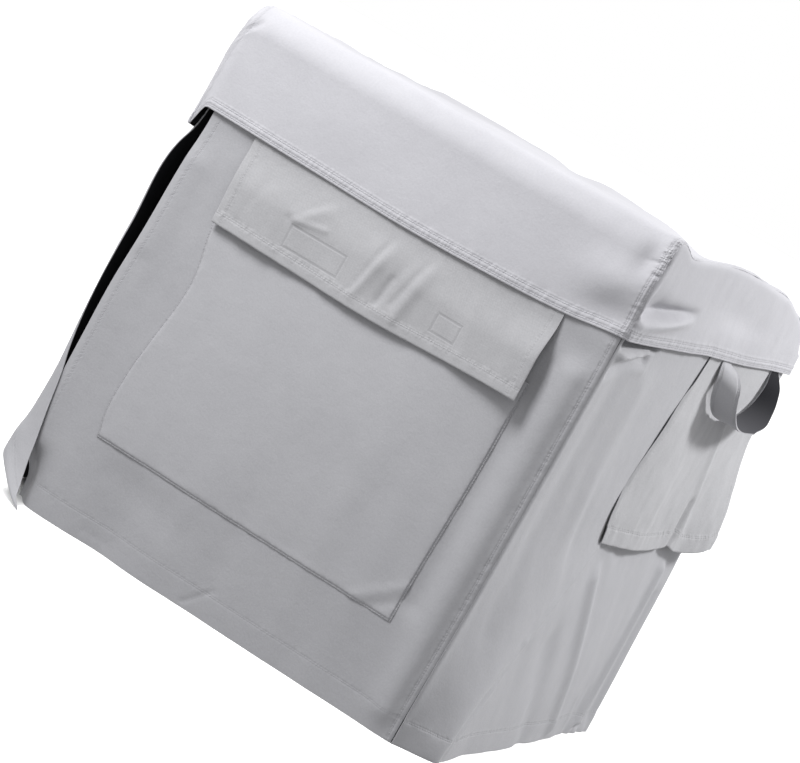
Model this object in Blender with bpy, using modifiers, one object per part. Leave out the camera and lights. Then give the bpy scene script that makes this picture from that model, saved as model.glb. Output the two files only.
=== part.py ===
"""Generator cover: a loose box-shaped cloth cover that stands on the floor, open underneath.

Eleven cut pieces of cloth: a hood of three (a strip that makes the front band, the top and the back band, and
a band on each side), four walls tucked under it, a sewn-on patch with a flap over it on the front, a larger
flap and a carrying strap on the right. The front left corner is open. Metres, +Z up, the front faces -Y.

Inside this file a place on the cover is given by x (to the right), depth (back from the front wall) and z.
Every piece is a sheet given by its outer face, thickened inwards.
"""

import bmesh
import bpy
import numpy as np

# The box, measured on the outside of the walls
HALF_WIDTH = 0.2695
DEPTH = 0.698
HEIGHT = 0.612

# Cloth and seams
CLOTH = 0.0015
GAP = 0.0004  # between pieces sewn face to face
SEAM = 0.0009  # between pieces sewn edge to edge
PATCH_GAP = 0.0008
TUCK = 0.014  # how far a wall reaches up behind the hood's hem
WALL_CORNER = 0.008
# Distances from a corner seam at which its round edge is drawn
CORNER_STATIONS = (0.0, 0.0012, 0.0036, 0.0085)

# The hood
PROUD = 0.0058  # how far the bands stand off the walls
HOOD_HEM = 0.484
HOOD_CORNER = 0.009
FRONT_ROLL = 0.034
BACK_ROLL = 0.090
TOP_FALL = 0.009  # how much lower the top lies at the back

# The middle of the footprint, which is the part's origin
CENTRE_X = -0.0018
CENTRE_DEPTH = 0.3309

# Where the hood's hem lies above or below HOOD_HEM: along the front and back by x, along the sides by depth
HEM_FRONT = {
    "x": (-0.276, -0.150, 0.015, 0.084, 0.202, 0.276),
    "lift": (-0.002, -0.004, -0.0067, -0.005, 0.001, 0.009),
}
HEM_RIGHT = {
    "depth": (0.0, 0.18, 0.33, 0.46, 0.63, 0.704),
    "lift": (0.009, 0.014, 0.019, 0.020, 0.025, 0.026),
}
HEM_BACK = {"x": (-0.276, 0.0, 0.276), "lift": (0.010, 0.013, 0.026)}
HEM_LEFT = {
    "depth": (0.0, 0.022, 0.04, 0.15, 0.35, 0.704),
    "lift": (-0.002, -0.004, -0.006, -0.007, 0.002, 0.010),
}

# How far the top's back right shoulder has sunk, by depth
SHOULDER = {
    "depth": (0.0, 0.42, 0.536, 0.60, 0.655, 0.704),
    "fall": (0.0, 0.0, 0.006, 0.018, 0.026, 0.022),
}

# Creases across the top: start and end in x and depth, height (a trough is below zero) and width
TOP_CREASES = (
    {"from": (0.268, 0.075), "to": (0.135, 0.62), "height": -0.012, "width": 0.034},
    {"from": (0.090, 0.16), "to": (-0.070, 0.64), "height": -0.006, "width": 0.026},
    {"from": (-0.200, 0.10), "to": (-0.240, 0.50), "height": -0.003, "width": 0.045},
    {"from": (0.010, 0.10), "to": (-0.030, 0.60), "height": 0.003, "width": 0.030},
)

# The right wall's foot is pulled out. The crest runs forward and down from under the flap to the floor.
CREST = {
    "z": (0.0, 0.07, 0.139, 0.212, 0.257, 0.32, 0.52),
    "depth": (0.050, 0.092, 0.174, 0.251, 0.318, 0.340, 0.340),
    "out": (0.0375, 0.0330, 0.0225, 0.0105, 0.0025, 0.0, 0.0),
}
# The same wall's outline at any height, as a share of the crest's: 0 is the seam, 1 the crest, 2 the back
CREST_OUTLINE = {
    "place": (0.0, 1.0, 1.17, 1.35, 1.68, 1.84, 2.0),
    "share": (0.0, 1.0, 0.76, 0.70, 0.40, 0.22, 0.22),
}
# Creases on the right wall: ends in depth and z
RIGHT_CREASES = (
    {"from": (0.318, 0.257), "to": (0.174, 0.139), "height": 0.0018, "width": 0.007},
    {"from": (0.174, 0.139), "to": (0.060, 0.015), "height": 0.0018, "width": 0.007},
    {"from": (0.352, 0.215), "to": (0.488, 0.020), "height": 0.0060, "width": 0.014},
    {"from": (0.290, 0.130), "to": (0.380, 0.000), "height": -0.004, "width": 0.024},
    {"from": (0.628, 0.230), "to": (0.624, 0.020), "height": 0.0060, "width": 0.010},
    {"from": (0.668, 0.190), "to": (0.672, 0.025), "height": -0.0045, "width": 0.013},
    {"from": (0.150, 0.440), "to": (0.175, 0.240), "height": 0.0035, "width": 0.030},
    {"from": (0.060, 0.450), "to": (0.075, 0.150), "height": -0.0030, "width": 0.026},
    {"from": (0.012, 0.478), "to": (0.120, 0.470), "height": 0.0028, "width": 0.010},
)
# The pinched cloth's pleats, which run up behind the hem, in the same columns
PLEATS = (
    {"from": (0.006, 0.4875), "to": (0.135, 0.4955), "height": -0.0130, "width": 0.0058},
    {"from": (0.010, 0.4740), "to": (0.110, 0.4880), "height": 0.0070, "width": 0.0060},
    {"from": (0.004, 0.4520), "to": (0.115, 0.4780), "height": -0.0075, "width": 0.0065},
)

# The front wall's free left edge, by height
LEFT_EDGE = {
    "z": (0.0, 0.045, 0.07, 0.09, 0.15, 0.20, 0.26, 0.33, 0.40, 0.50),
    "x": (-0.2620, -0.2660, -0.2690, -0.2700, -0.2706, -0.2705, -0.2700, -0.2662, -0.2646, -0.2590),
}
FOOT_RECESS = 0.036  # how far that edge's foot has slipped in
FRONT_CREASES = (
    {"from": (-0.252, 0.420), "to": (-0.256, 0.080), "height": -0.004, "width": 0.018},
    {"from": (0.210, 0.430), "to": (0.212, 0.140), "height": 0.003, "width": 0.013},
    {"from": (0.240, 0.430), "to": (0.241, 0.030), "height": -0.0065, "width": 0.019},
    {"from": (0.000, 0.240), "to": (0.000, 0.240), "height": -0.004, "width": 0.170},
)
# Where the hem swings back and forward between its ends: the middle of each swing and its width
HEM_SWEEP = ({"x": -0.138, "depth": 0.006, "width": 0.032}, {"x": -0.082, "depth": -0.003, "width": 0.034})

# The left wall by height: where its front corner is, and the lap of cloth that goes on past it to the free
# edge: how wide the lap is, and how far it comes forward for each metre of it. Flare is how far the wall
# stands out behind the corner.
LEFT_WALL = {
    "z": (0.0, 0.010, 0.020, 0.045, 0.07, 0.115, 0.15, 0.175, 0.20, 0.33, 0.437, 0.455, 0.50),
    "corner_x": (
        (-0.286, -0.286, -0.286, -0.285, -0.283, -0.281, -0.2805)
        + (-0.2822, -0.2845, -0.2868, -0.2832, -0.2788, -0.2735)
    ),
    "corner_depth": (
        (-0.010, -0.010, -0.009, -0.008, -0.006, -0.004, -0.0035)
        + (-0.003, -0.002, -0.001, 0.001, 0.0062, 0.0062)
    ),
    "lap": (0.0715, 0.058, 0.050, 0.037, 0.0285, 0.0172, 0.0105, 0.0058, 0.0035, 0.002, 0.002, 0.002, 0.002),
    "forward": (0.436, 0.400, 0.330, 0.204, 0.140, 0.120, 0.100, 0.050, 0.0, 0.0, 0.0, 0.0, 0.0),
    "flare": (0.031, 0.0305, 0.030, 0.029, 0.026, 0.020, 0.016, 0.0135, 0.011, 0.005, 0.0015, 0.0008, 0.0),
}
LEFT_OUTLINE = {
    "along": (0.0, 0.10, 0.25, 0.50, 1.0),
    "corner_share": (1.0, 0.92, 0.80, 0.50, 0.0),
    "flare_share": (0.0, 0.28, 1.00, 0.75, 0.0),
}
LAP_SHARE = 0.07  # share of the sheet's columns that lie on the lap
LAP_ROUND = 0.004
LAP_LIFT = 0.041  # how far the lap's hem is lifted at the corner

# Patch and front flap, by x and z on the front wall
PATCH_LEFT = {
    "z": (0.110, 0.128, 0.184, 0.230, 0.306, 0.376, 0.405),
    "x": (-0.197, -0.201, -0.202, -0.196, -0.187, -0.1975, -0.198),
}
PATCH_RIGHT = {"z": (0.108, 0.305, 0.405), "x": (0.199, 0.204, 0.204)}
PATCH_FOOT = 0.1095
PATCH_HEAD = 0.402
FLAP_LEFT = (-0.2014, -0.1972)  # at its head and at its foot
FLAP_RIGHT = (0.2011, 0.2045)
FLAP_FOOT = {"x": (-0.198, 0.015, 0.205), "z": (0.3772, 0.3736, 0.3800)}
FLAP_CREASES = (
    {"from": (-0.061, 0.474), "to": (-0.112, 0.430), "height": 0.0022, "width": 0.008},
    {"from": (0.009, 0.472), "to": (-0.014, 0.392), "height": 0.0026, "width": 0.007},
    {"from": (0.030, 0.472), "to": (0.014, 0.398), "height": -0.0018, "width": 0.008},
    {"from": (0.056, 0.471), "to": (0.040, 0.390), "height": 0.0026, "width": 0.007},
    {"from": (0.150, 0.450), "to": (0.160, 0.385), "height": -0.0020, "width": 0.022},
)

# Side flap, by depth and z beside the right wall
SIDE_LEFT = {
    "z": (0.258, 0.300, 0.335, 0.380, 0.420, 0.470, 0.520),
    "depth": (0.3105, 0.2985, 0.3000, 0.3125, 0.3215, 0.3357, 0.3440),
}
SIDE_EDGE_STAND = {
    "z": (0.258, 0.300, 0.335, 0.380, 0.420, 0.470, 0.520),
    "stand": (0.0034, 0.0024, 0.0003, 0.0002, 0.0010, 0.0003, 0.0),
}
SIDE_RIGHT = {"z": (0.270, 0.420, 0.520), "depth": (0.697, 0.690, 0.684)}
SIDE_FOOT = {
    "depth": (0.296, 0.545, 0.570, 0.600, 0.660, 0.700),
    "z": (0.2590, 0.2620, 0.2650, 0.2600, 0.2650, 0.2745),
}
SIDE_CREASES = (
    {"from": (0.560, 0.325), "to": (0.568, 0.262), "height": -0.0035, "width": 0.007},
    {"from": (0.535, 0.430), "to": (0.582, 0.290), "height": 0.0035, "width": 0.011},
    {"from": (0.400, 0.420), "to": (0.430, 0.265), "height": 0.0020, "width": 0.035},
)

# Carrying strap: a half ellipse that hangs from the hem, its width turned out from the wall
STRAP_WIDTH = 0.034
STRAP_CENTRE = 0.507
STRAP_HALF_SPAN = 0.114
STRAP_DROP = 0.078
STRAP_CLOTH = 0.0016
# How far each half of the strap has turned edge on, by how far it has dropped from its sewn end
STRAP_TURN = {
    "drop": (0.0, 0.0085, 0.014, 0.025, 0.042, 0.060, 0.078),
    "near": (0.0, 0.0, 22.0, 43.0, 60.0, 75.0, 90.0),
    "far": (0.0, 0.0, 6.0, 17.0, 31.0, 50.0, 90.0),
}

CLOTH_GREY = (0.42, 0.42, 0.45, 1.0)
STRAP_GREY = (0.36, 0.36, 0.39, 1.0)


def ease(t):
    """0 below t = 0, 1 above t = 1, and a smooth rise between."""
    t = np.clip(t, 0.0, 1.0)
    return t * t * (3.0 - 2.0 * t)


def curve(value, knots, heights):
    """The smooth line through a short table: a cubic between knots, level beyond the ends."""
    knots = np.asarray(knots, float)
    heights = np.asarray(heights, float)
    slopes = np.gradient(heights, knots)
    slopes[[0, -1]] = 0.0
    value = np.clip(value, knots[0], knots[-1])
    k = np.clip(np.searchsorted(knots, value, side="right") - 1, 0, len(knots) - 2)
    span = knots[k + 1] - knots[k]
    t = (value - knots[k]) / span
    start = heights[k] * (1 + 2 * t) * (1 - t) ** 2 + slopes[k] * span * t * (1 - t) ** 2
    end = heights[k + 1] * t * t * (3 - 2 * t) + slopes[k + 1] * span * t * t * (t - 1)
    return start + end


def creases(rows, across, up):
    """Soft ridges and troughs along straight lines: height * exp(-(distance to the line / width) squared)."""
    total = np.zeros(np.broadcast(across, up).shape)
    for row in rows:
        start = np.array(row["from"])
        run = np.array(row["to"]) - start
        length = max(run @ run, 1e-12)
        t = np.clip(((across - start[0]) * run[0] + (up - start[1]) * run[1]) / length, 0.0, 1.0)
        away = np.hypot(across - start[0] - t * run[0], up - start[1] - t * run[1])
        total = total + row["height"] * np.exp(-((away / row["width"]) ** 2))
    return total


def bump(value, centre, width):
    """A single soft hump: exp(-((value - centre) / width) squared)."""
    return np.exp(-(((value - centre) / width) ** 2))


def rolled(inside, radius):
    """How far a face has rolled away at this distance inside its outer line, on an edge of this radius."""
    left = np.clip(radius - inside, 0.0, radius)
    return radius - np.sqrt(radius**2 - left**2)


def seam_inset(radius):
    """Distance inside the outer line at which a sheet ends: half a seam short of the round edge's middle."""
    return radius * (1.0 - np.sqrt(0.5)) + SEAM / (2.0 * np.sqrt(2.0))


# Walls


def front_depth(x, z):
    """Depth of the front wall's outer face."""
    seam_x = HALF_WIDTH - 0.0030 * ease(1.0 - z / 0.2)
    foot = FOOT_RECESS * bump(x, -0.262, 0.019) * ease((0.070 - z) / 0.048)
    sweep = sum(row["depth"] * bump(x, row["x"], row["width"]) for row in HEM_SWEEP) * ease((0.14 - z) / 0.14)
    lean = -0.0020 * ease((z - 0.46) / 0.03)
    still = ease((0.475 - z) / 0.04) * ease((seam_x - 0.0028 - x) / 0.020)
    return rolled(seam_x - x, WALL_CORNER) + foot + sweep + lean + still * creases(FRONT_CREASES, x, z)


def right_out(depth, z):
    """How far the right wall stands out from the box, by depth and height."""
    crest = curve(z, CREST["z"], CREST["depth"])
    place = np.where(depth < crest, depth / crest, 1.0 + (depth - crest) / (DEPTH - crest))
    share = curve(place, CREST_OUTLINE["place"], CREST_OUTLINE["share"])
    swell = curve(z, CREST["z"], CREST["out"]) * share
    gathers = 0.0012 * np.sin(2 * np.pi * depth / 0.030) * ease((depth - 0.56) / 0.05) * ease(1.0 - z / 0.07)
    still = ease((0.488 - z) / 0.03) * ease(depth / 0.03) * ease((DEPTH - depth) / 0.03)
    pleats = creases(PLEATS, depth, z) * ease((depth - 0.005) / 0.014)
    return swell + pleats + still * (creases(RIGHT_CREASES, depth, z) + gathers)


def front_wall(across, up):
    """x runs from the free left edge to the corner seam; the top follows the hood's hem."""
    z = up * (HOOD_HEM + TUCK)
    z = z + curve(-0.276 + 0.55 * across, HEM_FRONT["x"], HEM_FRONT["lift"]) * ease((up - 0.6) / 0.4)
    left = curve(z, LEFT_EDGE["z"], LEFT_EDGE["x"])
    right = HALF_WIDTH - 0.0030 * ease(1.0 - z / 0.2) - seam_inset(WALL_CORNER)
    x = left + across * (right - left)
    return x, front_depth(x, z), z


def right_wall(across, up):
    """Across is the depth under the hood; lower down the columns follow the crest forward."""
    start = seam_inset(WALL_CORNER)
    end = DEPTH - start
    z = up * (HOOD_HEM + TUCK)
    z = z + curve(across, HEM_RIGHT["depth"], HEM_RIGHT["lift"]) * ease((up - 0.6) / 0.4)
    crest = curve(z, CREST["z"], CREST["depth"])
    near = CORNER_STATIONS[-1]
    top_crest = CREST["depth"][-1]
    before = near + (crest - near) * (across - near) / (top_crest - near)
    after = crest + (DEPTH - near - crest) * (across - top_crest) / (DEPTH - near - top_crest)
    depth = np.where(across < top_crest, before, after)
    depth = np.where((across < near) | (across > DEPTH - near), across, depth)
    depth = np.clip(depth, start, end)
    x = HALF_WIDTH - 0.0030 * ease(1.0 - z / 0.2) * ease(1.0 - depth / 0.04) + right_out(depth, z)
    x = x - rolled(depth, WALL_CORNER) - rolled(DEPTH - depth, WALL_CORNER)
    return x, depth, z


def back_wall(across, up):
    """Runs from the right seam to the left seam."""
    z = up * (HOOD_HEM + TUCK)
    right = HALF_WIDTH + right_out(np.full_like(z, DEPTH), z)
    x = right - seam_inset(WALL_CORNER) - across * (right + HALF_WIDTH - 2.0 * seam_inset(WALL_CORNER))
    z = z + curve(x, HEM_BACK["x"], HEM_BACK["lift"]) * ease((up - 0.6) / 0.4)
    inside = HALF_WIDTH - np.abs(x)
    waves = 0.005 * np.sin(2 * np.pi * (x + 0.05) / 0.21) * ease(1.0 - z / 0.42) * ease(inside / 0.05)
    lean = 0.0036 * ease((z - 0.45) / 0.04) * ease(inside / 0.03)
    depth = DEPTH + waves + lean - rolled(right - x, WALL_CORNER) - rolled(x + HALF_WIDTH, WALL_CORNER)
    return x, depth, z


def left_wall(across, up):
    """Runs from the back seam to the free front edge, whose foot laps round the corner, in front of the front
    wall. Behind the corner the depth grows with the cloth; on the lap x grows, and depth falls by forward."""
    place = 1.0 - across
    z = up * (HOOD_HEM + TUCK)
    row = {name: curve(z, LEFT_WALL["z"], column) for name, column in LEFT_WALL.items()}
    end = DEPTH - seam_inset(WALL_CORNER)
    past = (place - LAP_SHARE) / (1.0 - LAP_SHARE)
    on_lap = row["lap"] * (place / LAP_SHARE - 1.0)
    from_corner = np.where(past < 0.0, on_lap, past * (end - row["corner_depth"]))
    beyond = (from_corner + np.hypot(from_corner, LAP_ROUND)) / 2.0
    before = beyond - from_corner
    depth = np.minimum(row["corner_depth"] + beyond - row["forward"] * before, end)
    along = np.clip(beyond / end, 0.0, 1.0)
    out = (row["corner_x"] + HALF_WIDTH) * curve(along, LEFT_OUTLINE["along"], LEFT_OUTLINE["corner_share"])
    out = out - row["flare"] * curve(along, LEFT_OUTLINE["along"], LEFT_OUTLINE["flare_share"])
    waves = ease((along - 0.2) / 0.1) * ease((1.0 - along) / 0.1) * ease((0.45 - z) / 0.1)
    out = out + 0.003 * np.sin(2 * np.pi * along / 0.31) * waves + np.sqrt(1.0 - row["forward"] ** 2) * before
    out = out - 0.0036 * ease((z - 0.45) / 0.04) * ease((along - 0.02) / 0.04) * ease((1.0 - along) / 0.05)
    hem = curve(depth, HEM_LEFT["depth"], HEM_LEFT["lift"]) * ease((up - 0.6) / 0.4)
    lifted = np.where(past < 0.0, np.abs(place / LAP_SHARE) ** 1.3, 1.0 - ease(past / 0.2))
    z = z + hem + LAP_LIFT * lifted * ease(1.0 - up / 0.25)
    return out - HALF_WIDTH + rolled(DEPTH - depth, WALL_CORNER), depth, z


# Hood

HOOD_SIDE = HALF_WIDTH + PROUD
HOOD_FRONT = -PROUD
HOOD_BACK = DEPTH + PROUD
HOOD_LENGTH = HOOD_BACK - HOOD_FRONT - 2 * seam_inset(HOOD_CORNER)
HOOD_ROWS = (0.0, 0.20, 0.40, 0.60, 0.78, 0.90, 0.955, 0.988, 1.0)
HOOD_COLUMNS = np.concatenate(
    [
        (0.0, 0.0015, 0.0045, 0.0100, 0.0190, 0.0300),
        np.linspace(0.045, 0.585, 13),
        HOOD_LENGTH - np.array((0.085, 0.060, 0.037, 0.018, 0.0075, 0.0018, 0.0)),
    ]
)
# The hood's two round edges, seen from the side: radius, where it is centred, and the way it faces
HOOD_ROLLS = ((FRONT_ROLL, HOOD_FRONT + FRONT_ROLL, -1.0), (BACK_ROLL, HOOD_BACK - BACK_ROLL, 1.0))
# The pinch at the right front corner, by depth: the height of its crease, how deep the crease is, how far the
# slope above it reaches up, and how far the ridge below it stands out
PINCH = {
    "depth": (0.0, 0.06, 0.12, 0.165, 0.20),
    "line": (0.5190, 0.5270, 0.5340, 0.5385, 0.5410),
    "crease": (-0.0090, -0.0140, -0.0105, -0.0050, 0.0),
    "slope": (0.022, 0.018, 0.012, 0.008, 0.008),
    "ridge": (0.0040, 0.0085, 0.0070, 0.0030, 0.0),
}
PINCH_RIDGE_DROP = 0.0145  # how far the ridge lies below the crease
LEFT_ROUND = 0.017  # how much wider the left front corner's radius is at the hem than at the top
LEFT_FALL = 0.026  # how far the hem falls round that corner


def hood_edge(depth):
    """Height of the hood's cut side edge at a depth: level, with a quarter round at front and back."""
    inset = seam_inset(HOOD_CORNER)
    top = HEIGHT - inset
    for roll, centre, facing in HOOD_ROLLS:
        radius = roll - inset
        short = np.clip((depth - centre) * facing, 0.0, radius)
        top = top - (radius - np.sqrt(radius**2 - short**2))
    return top


def hood_inside(depth, z):
    """Distance inside the hood's outer line, seen from the side."""
    front = depth - HOOD_FRONT
    back = HOOD_BACK - depth
    top = HEIGHT - z
    inside = np.minimum(np.minimum(front, back), top)
    for radius, flank in ((FRONT_ROLL, front), (BACK_ROLL, back)):
        corner = radius - np.hypot(radius - flank, radius - top)
        inside = np.where((flank < radius) & (top < radius), corner, inside)
    return inside


def round_left_corner(x, depth, z):
    """Turns the left front corner round a wider radius lower down: a place in the corner's square is pulled
    towards the middle of the round until it lies on it."""
    radius = HOOD_CORNER + LEFT_ROUND * ease((0.600 - z) / 0.06)
    inward = radius - (x + HOOD_SIDE)
    back = radius - (depth - HOOD_FRONT)
    in_square = (inward > 0.0) & (back > 0.0)
    pull = np.where(in_square, radius / np.maximum(np.hypot(inward, back), radius), 1.0)
    return -HOOD_SIDE + radius - inward * pull, HOOD_FRONT + radius - back * pull


def pinch(depth, z):
    """The slack pinched at the right front corner: a crease, a broad slope above it and a ridge below."""
    row = {name: curve(depth, PINCH["depth"], column) for name, column in PINCH.items()}
    crest = row["line"] - PINCH_RIDGE_DROP
    slope = np.where(z > row["line"], row["slope"], 0.0070)
    ridge = np.where(z > crest, 0.0070, 0.0120)
    return row["crease"] * bump(z, row["line"], slope) + row["ridge"] * bump(z, crest, ridge)


def hood_form(x, depth, z, hem_lift):
    """Lays the slack of the hood into its smooth box: hem line, sunk top, ear, round corner and creases."""
    high = ease((z - 0.50) / 0.09)
    low = ease((0.575 - z) / 0.085)
    right = ease(x / 0.2)
    left = ease((-x - 0.19) / 0.07)
    fall = TOP_FALL * ease(depth / 0.6) + right * curve(depth, SHOULDER["depth"], SHOULDER["fall"])
    ear = 0.0075 * bump(np.hypot(x - 0.268, depth), 0.0, 0.017)
    corner_fall = LEFT_FALL * ease((-x - 0.256) / 0.018) * ease((0.20 - depth) / 0.15)
    rise = high * (creases(TOP_CREASES, x, depth) + ear - fall) + low * (hem_lift - corner_fall)
    belly = 0.013 * left * ease((0.600 - z) / 0.055)
    flank = ease((x - 0.255) / 0.012) * ease((depth + 0.002) / 0.014)
    out = flank * pinch(depth, z)
    out = out - 0.004 * flank * bump(depth, 0.36, 0.10) * bump(z, 0.555, 0.03) * ease(depth / 0.1)
    forward = 0.0020 * bump(x, 0.12, 0.09) * low + 0.0015 * bump(x, -0.12, 0.08) * bump(z, 0.54, 0.03)
    forward = forward + 0.0085 * bump(x, 0.236, 0.040) * bump(z, 0.540, 0.026)
    forward = forward * ease((0.25 - depth) / 0.1)
    x, depth = round_left_corner(x, depth, z)
    return x + out - belly, depth - forward, z + rise


def hood_side(across, up, side, hem):
    """A side band: columns by depth, rows from the hem to the cut edge, and its edges rolled in."""
    depth = HOOD_FRONT + seam_inset(HOOD_CORNER) + across
    z = HOOD_HEM + up * (hood_edge(depth) - HOOD_HEM)
    x = HOOD_SIDE - rolled(hood_inside(depth, z), HOOD_CORNER)
    return hood_form(side * x, depth, z, curve(depth, hem["depth"], hem["lift"]))


def hood_right(across, up):
    """The right band, from its front seam to its back seam."""
    return hood_side(across, up, 1.0, HEM_RIGHT)


def hood_left(across, up):
    """The left band, from its back seam to its front seam."""
    return hood_side(HOOD_LENGTH - across, up, -1.0, HEM_LEFT)


def hood_profile():
    """The strip's line from the front hem over the top to the back hem, with a place beside every edge point
    of the side bands, and its outward direction there."""
    inset = seam_inset(HOOD_CORNER)
    columns = HOOD_FRONT + inset + HOOD_COLUMNS
    front = HOOD_HEM + np.array(HOOD_ROWS[:-1]) * (hood_edge(columns[0]) - HOOD_HEM)
    back = HOOD_HEM + np.array(HOOD_ROWS[-2::-1]) * (hood_edge(columns[-1]) - HOOD_HEM)
    depth = np.concatenate([np.full(len(front), columns[0]), columns, np.full(len(back), columns[-1])])
    z = np.concatenate([front, hood_edge(columns), back])
    toward = np.zeros((len(depth), 2))
    for radius, centre, facing in HOOD_ROLLS:
        on = (depth - centre) * facing > 0
        away = np.stack([depth - centre, np.maximum(z - (HEIGHT - radius), 0.0)], axis=1)
        toward[on] = (away / np.linalg.norm(away, axis=1)[:, None])[on]
    toward[(toward == 0.0).all(axis=1)] = (0.0, 1.0)
    return depth + toward[:, 0] * inset, z + toward[:, 1] * inset, toward


PROFILE_DEPTH, PROFILE_Z, PROFILE_OUT = hood_profile()


def hood_centre(x, along):
    """The strip: each place along the profile, with both long edges rolled down to the seams."""
    place = np.rint(along).astype(int)
    drop = rolled(HOOD_SIDE - np.abs(x), HOOD_CORNER)
    depth = PROFILE_DEPTH[place] - drop * PROFILE_OUT[place, 0]
    z = PROFILE_Z[place] - drop * PROFILE_OUT[place, 1]
    front = curve(x, HEM_FRONT["x"], HEM_FRONT["lift"])
    back = curve(x, HEM_BACK["x"], HEM_BACK["lift"])
    return hood_form(x, depth, z, np.where(depth < DEPTH / 2, front, back))


# Patch, flaps and strap


def pocket_patch(across, up):
    """Lies on the front wall with its edges where the stitching holds them."""
    z = PATCH_FOOT + up * (PATCH_HEAD - PATCH_FOOT)
    left = curve(z, PATCH_LEFT["z"], PATCH_LEFT["x"])
    right = curve(z, PATCH_RIGHT["z"], PATCH_RIGHT["x"])
    x = left + across * (right - left)
    fullness = 0.0030 * np.sin(np.pi * across) ** 0.7 * np.sin(np.pi * up) ** 0.7
    return x, front_depth(x, z) - PATCH_GAP - CLOTH - fullness, z


def front_flap(across, up):
    """Hangs from behind the front hem, resting on the patch's head and standing off at its right edge."""
    top_x = FLAP_LEFT[0] + across * (FLAP_RIGHT[0] - FLAP_LEFT[0])
    foot_x = FLAP_LEFT[1] + across * (FLAP_RIGHT[1] - FLAP_LEFT[1])
    x = foot_x + up * (top_x - foot_x)
    head = HOOD_HEM + 0.011 + curve(x, HEM_FRONT["x"], HEM_FRONT["lift"])
    foot = curve(x, FLAP_FOOT["x"], FLAP_FOOT["z"])
    z = foot + up * (head - foot)
    hang = ease((0.474 - z) / 0.05)
    stand = 0.0065 + 0.0065 * ease((x - 0.08) / 0.12) + 0.0015 * np.cos(2 * np.pi * (x - 0.02) / 0.16)
    depth = -0.0020 - GAP - CLOTH - hang * (stand + creases(FLAP_CREASES, x, z))
    return x, depth, z


def side_flap_x(depth, z):
    """Outer face of the side flap: its left edge lies by the wall, and its back lower corner stands out."""
    edge_stand = curve(z, SIDE_EDGE_STAND["z"], SIDE_EDGE_STAND["stand"])
    middle_stand = 0.009 * ease((0.494 - z) / 0.20)
    stand = edge_stand + (middle_stand - edge_stand) * ease((depth - 0.30) / 0.08)
    corner = 0.018 * ease((depth - 0.60) / 0.10) * ease((0.42 - z) / 0.14)
    waves = ease((0.480 - z) / 0.05) * creases(SIDE_CREASES, depth, z)
    return HALF_WIDTH + GAP + CLOTH + stand + corner + waves


def side_flap(across, up):
    """Hangs from behind the right hem, its back lower corner standing out."""
    guess = 0.260 + up * 0.252
    left = curve(guess, SIDE_LEFT["z"], SIDE_LEFT["depth"])
    right = curve(guess, SIDE_RIGHT["z"], SIDE_RIGHT["depth"])
    depth = left + across * (right - left)
    head = HOOD_HEM + 0.011 + curve(depth, HEM_RIGHT["depth"], HEM_RIGHT["lift"])
    foot = curve(depth, SIDE_FOOT["depth"], SIDE_FOOT["z"])
    z = foot + up * (head - foot)
    return side_flap_x(depth, z), depth, z


def carry_strap(place, across):
    """A ribbon: its edge beside the flap runs along a U. Its other edge lies further back at both ends and
    stands out from the wall between, so the face that looks out at the near end looks at the wall at the far
    one. Equal steps of place lie closer together on the cloth near the ends."""
    along = place - 0.85 * np.sin(2 * np.pi * place) / (2 * np.pi)
    depth = STRAP_CENTRE - STRAP_HALF_SPAN * np.cos(np.pi * along)
    head = HOOD_HEM + 0.007 + curve(depth, HEM_RIGHT["depth"], HEM_RIGHT["lift"])
    drop = STRAP_DROP * np.clip(np.sin(np.pi * along), 0.0, 1.0) ** 0.6
    near = curve(drop, STRAP_TURN["drop"], STRAP_TURN["near"])
    far = curve(drop, STRAP_TURN["drop"], STRAP_TURN["far"])
    turn = np.radians(np.clip(np.where(along < 0.5, near, far), 0.0, 90.0))
    reach = across * STRAP_WIDTH
    clear = GAP + STRAP_CLOTH * (1.0 - ease(place)) + 0.0026 * ease((drop - 0.0085) / 0.02)
    z = head - drop
    depth = depth + reach * np.cos(turn)
    x = side_flap_x(depth, np.minimum(z, 0.494)) + clear + reach * np.sin(turn)
    return x, depth, z


def sheet(name, material, across, up, surface, thickness=CLOTH):
    """One piece of cloth: a grid laid on its outer face, thickened inwards. Across runs to the right as seen
    from outside, up runs upwards."""
    across = np.asarray(across, float)
    up = np.asarray(up, float)
    mesh = bpy.data.meshes.new(name)
    grid = bmesh.new()
    bmesh.ops.create_grid(grid, x_segments=len(across) - 1, y_segments=len(up) - 1, size=0.5)
    flat = np.array([vertex.co for vertex in grid.verts])
    column = np.rint((flat[:, 0] + 0.5) * (len(across) - 1)).astype(int)
    row = np.rint((flat[:, 1] + 0.5) * (len(up) - 1)).astype(int)
    x, depth, z = surface(across[column], up[row])
    for vertex, place in zip(grid.verts, np.stack([x - CENTRE_X, depth - CENTRE_DEPTH, z], axis=1)):
        vertex.co = place
    grid.to_mesh(mesh)
    grid.free()
    mesh.shade_smooth()
    mesh.materials.append(material)
    piece = bpy.data.objects.new(name, mesh)
    thicken = piece.modifiers.new("Cloth thickness", "SOLIDIFY")
    thicken.thickness = thickness
    thicken.offset = -1.0
    COVER.objects.link(piece)
    return piece


def cloth_material(name, colour):
    """Matt woven cloth of one colour."""
    material = bpy.data.materials.new(name)
    material.use_nodes = True
    shader = material.node_tree.nodes["Principled BSDF"]
    shader.inputs["Base Color"].default_value = colour
    shader.inputs["Roughness"].default_value = 0.85
    shader.inputs["Metallic"].default_value = 0.0
    return material


for leftover in list(bpy.data.objects):
    bpy.data.objects.remove(leftover)
COVER = bpy.data.collections.new("generator_cover")
bpy.context.scene.collection.children.link(COVER)
grey = cloth_material("woven polyester", CLOTH_GREY)
strap_grey = cloth_material("strap polyester", STRAP_GREY)

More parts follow.
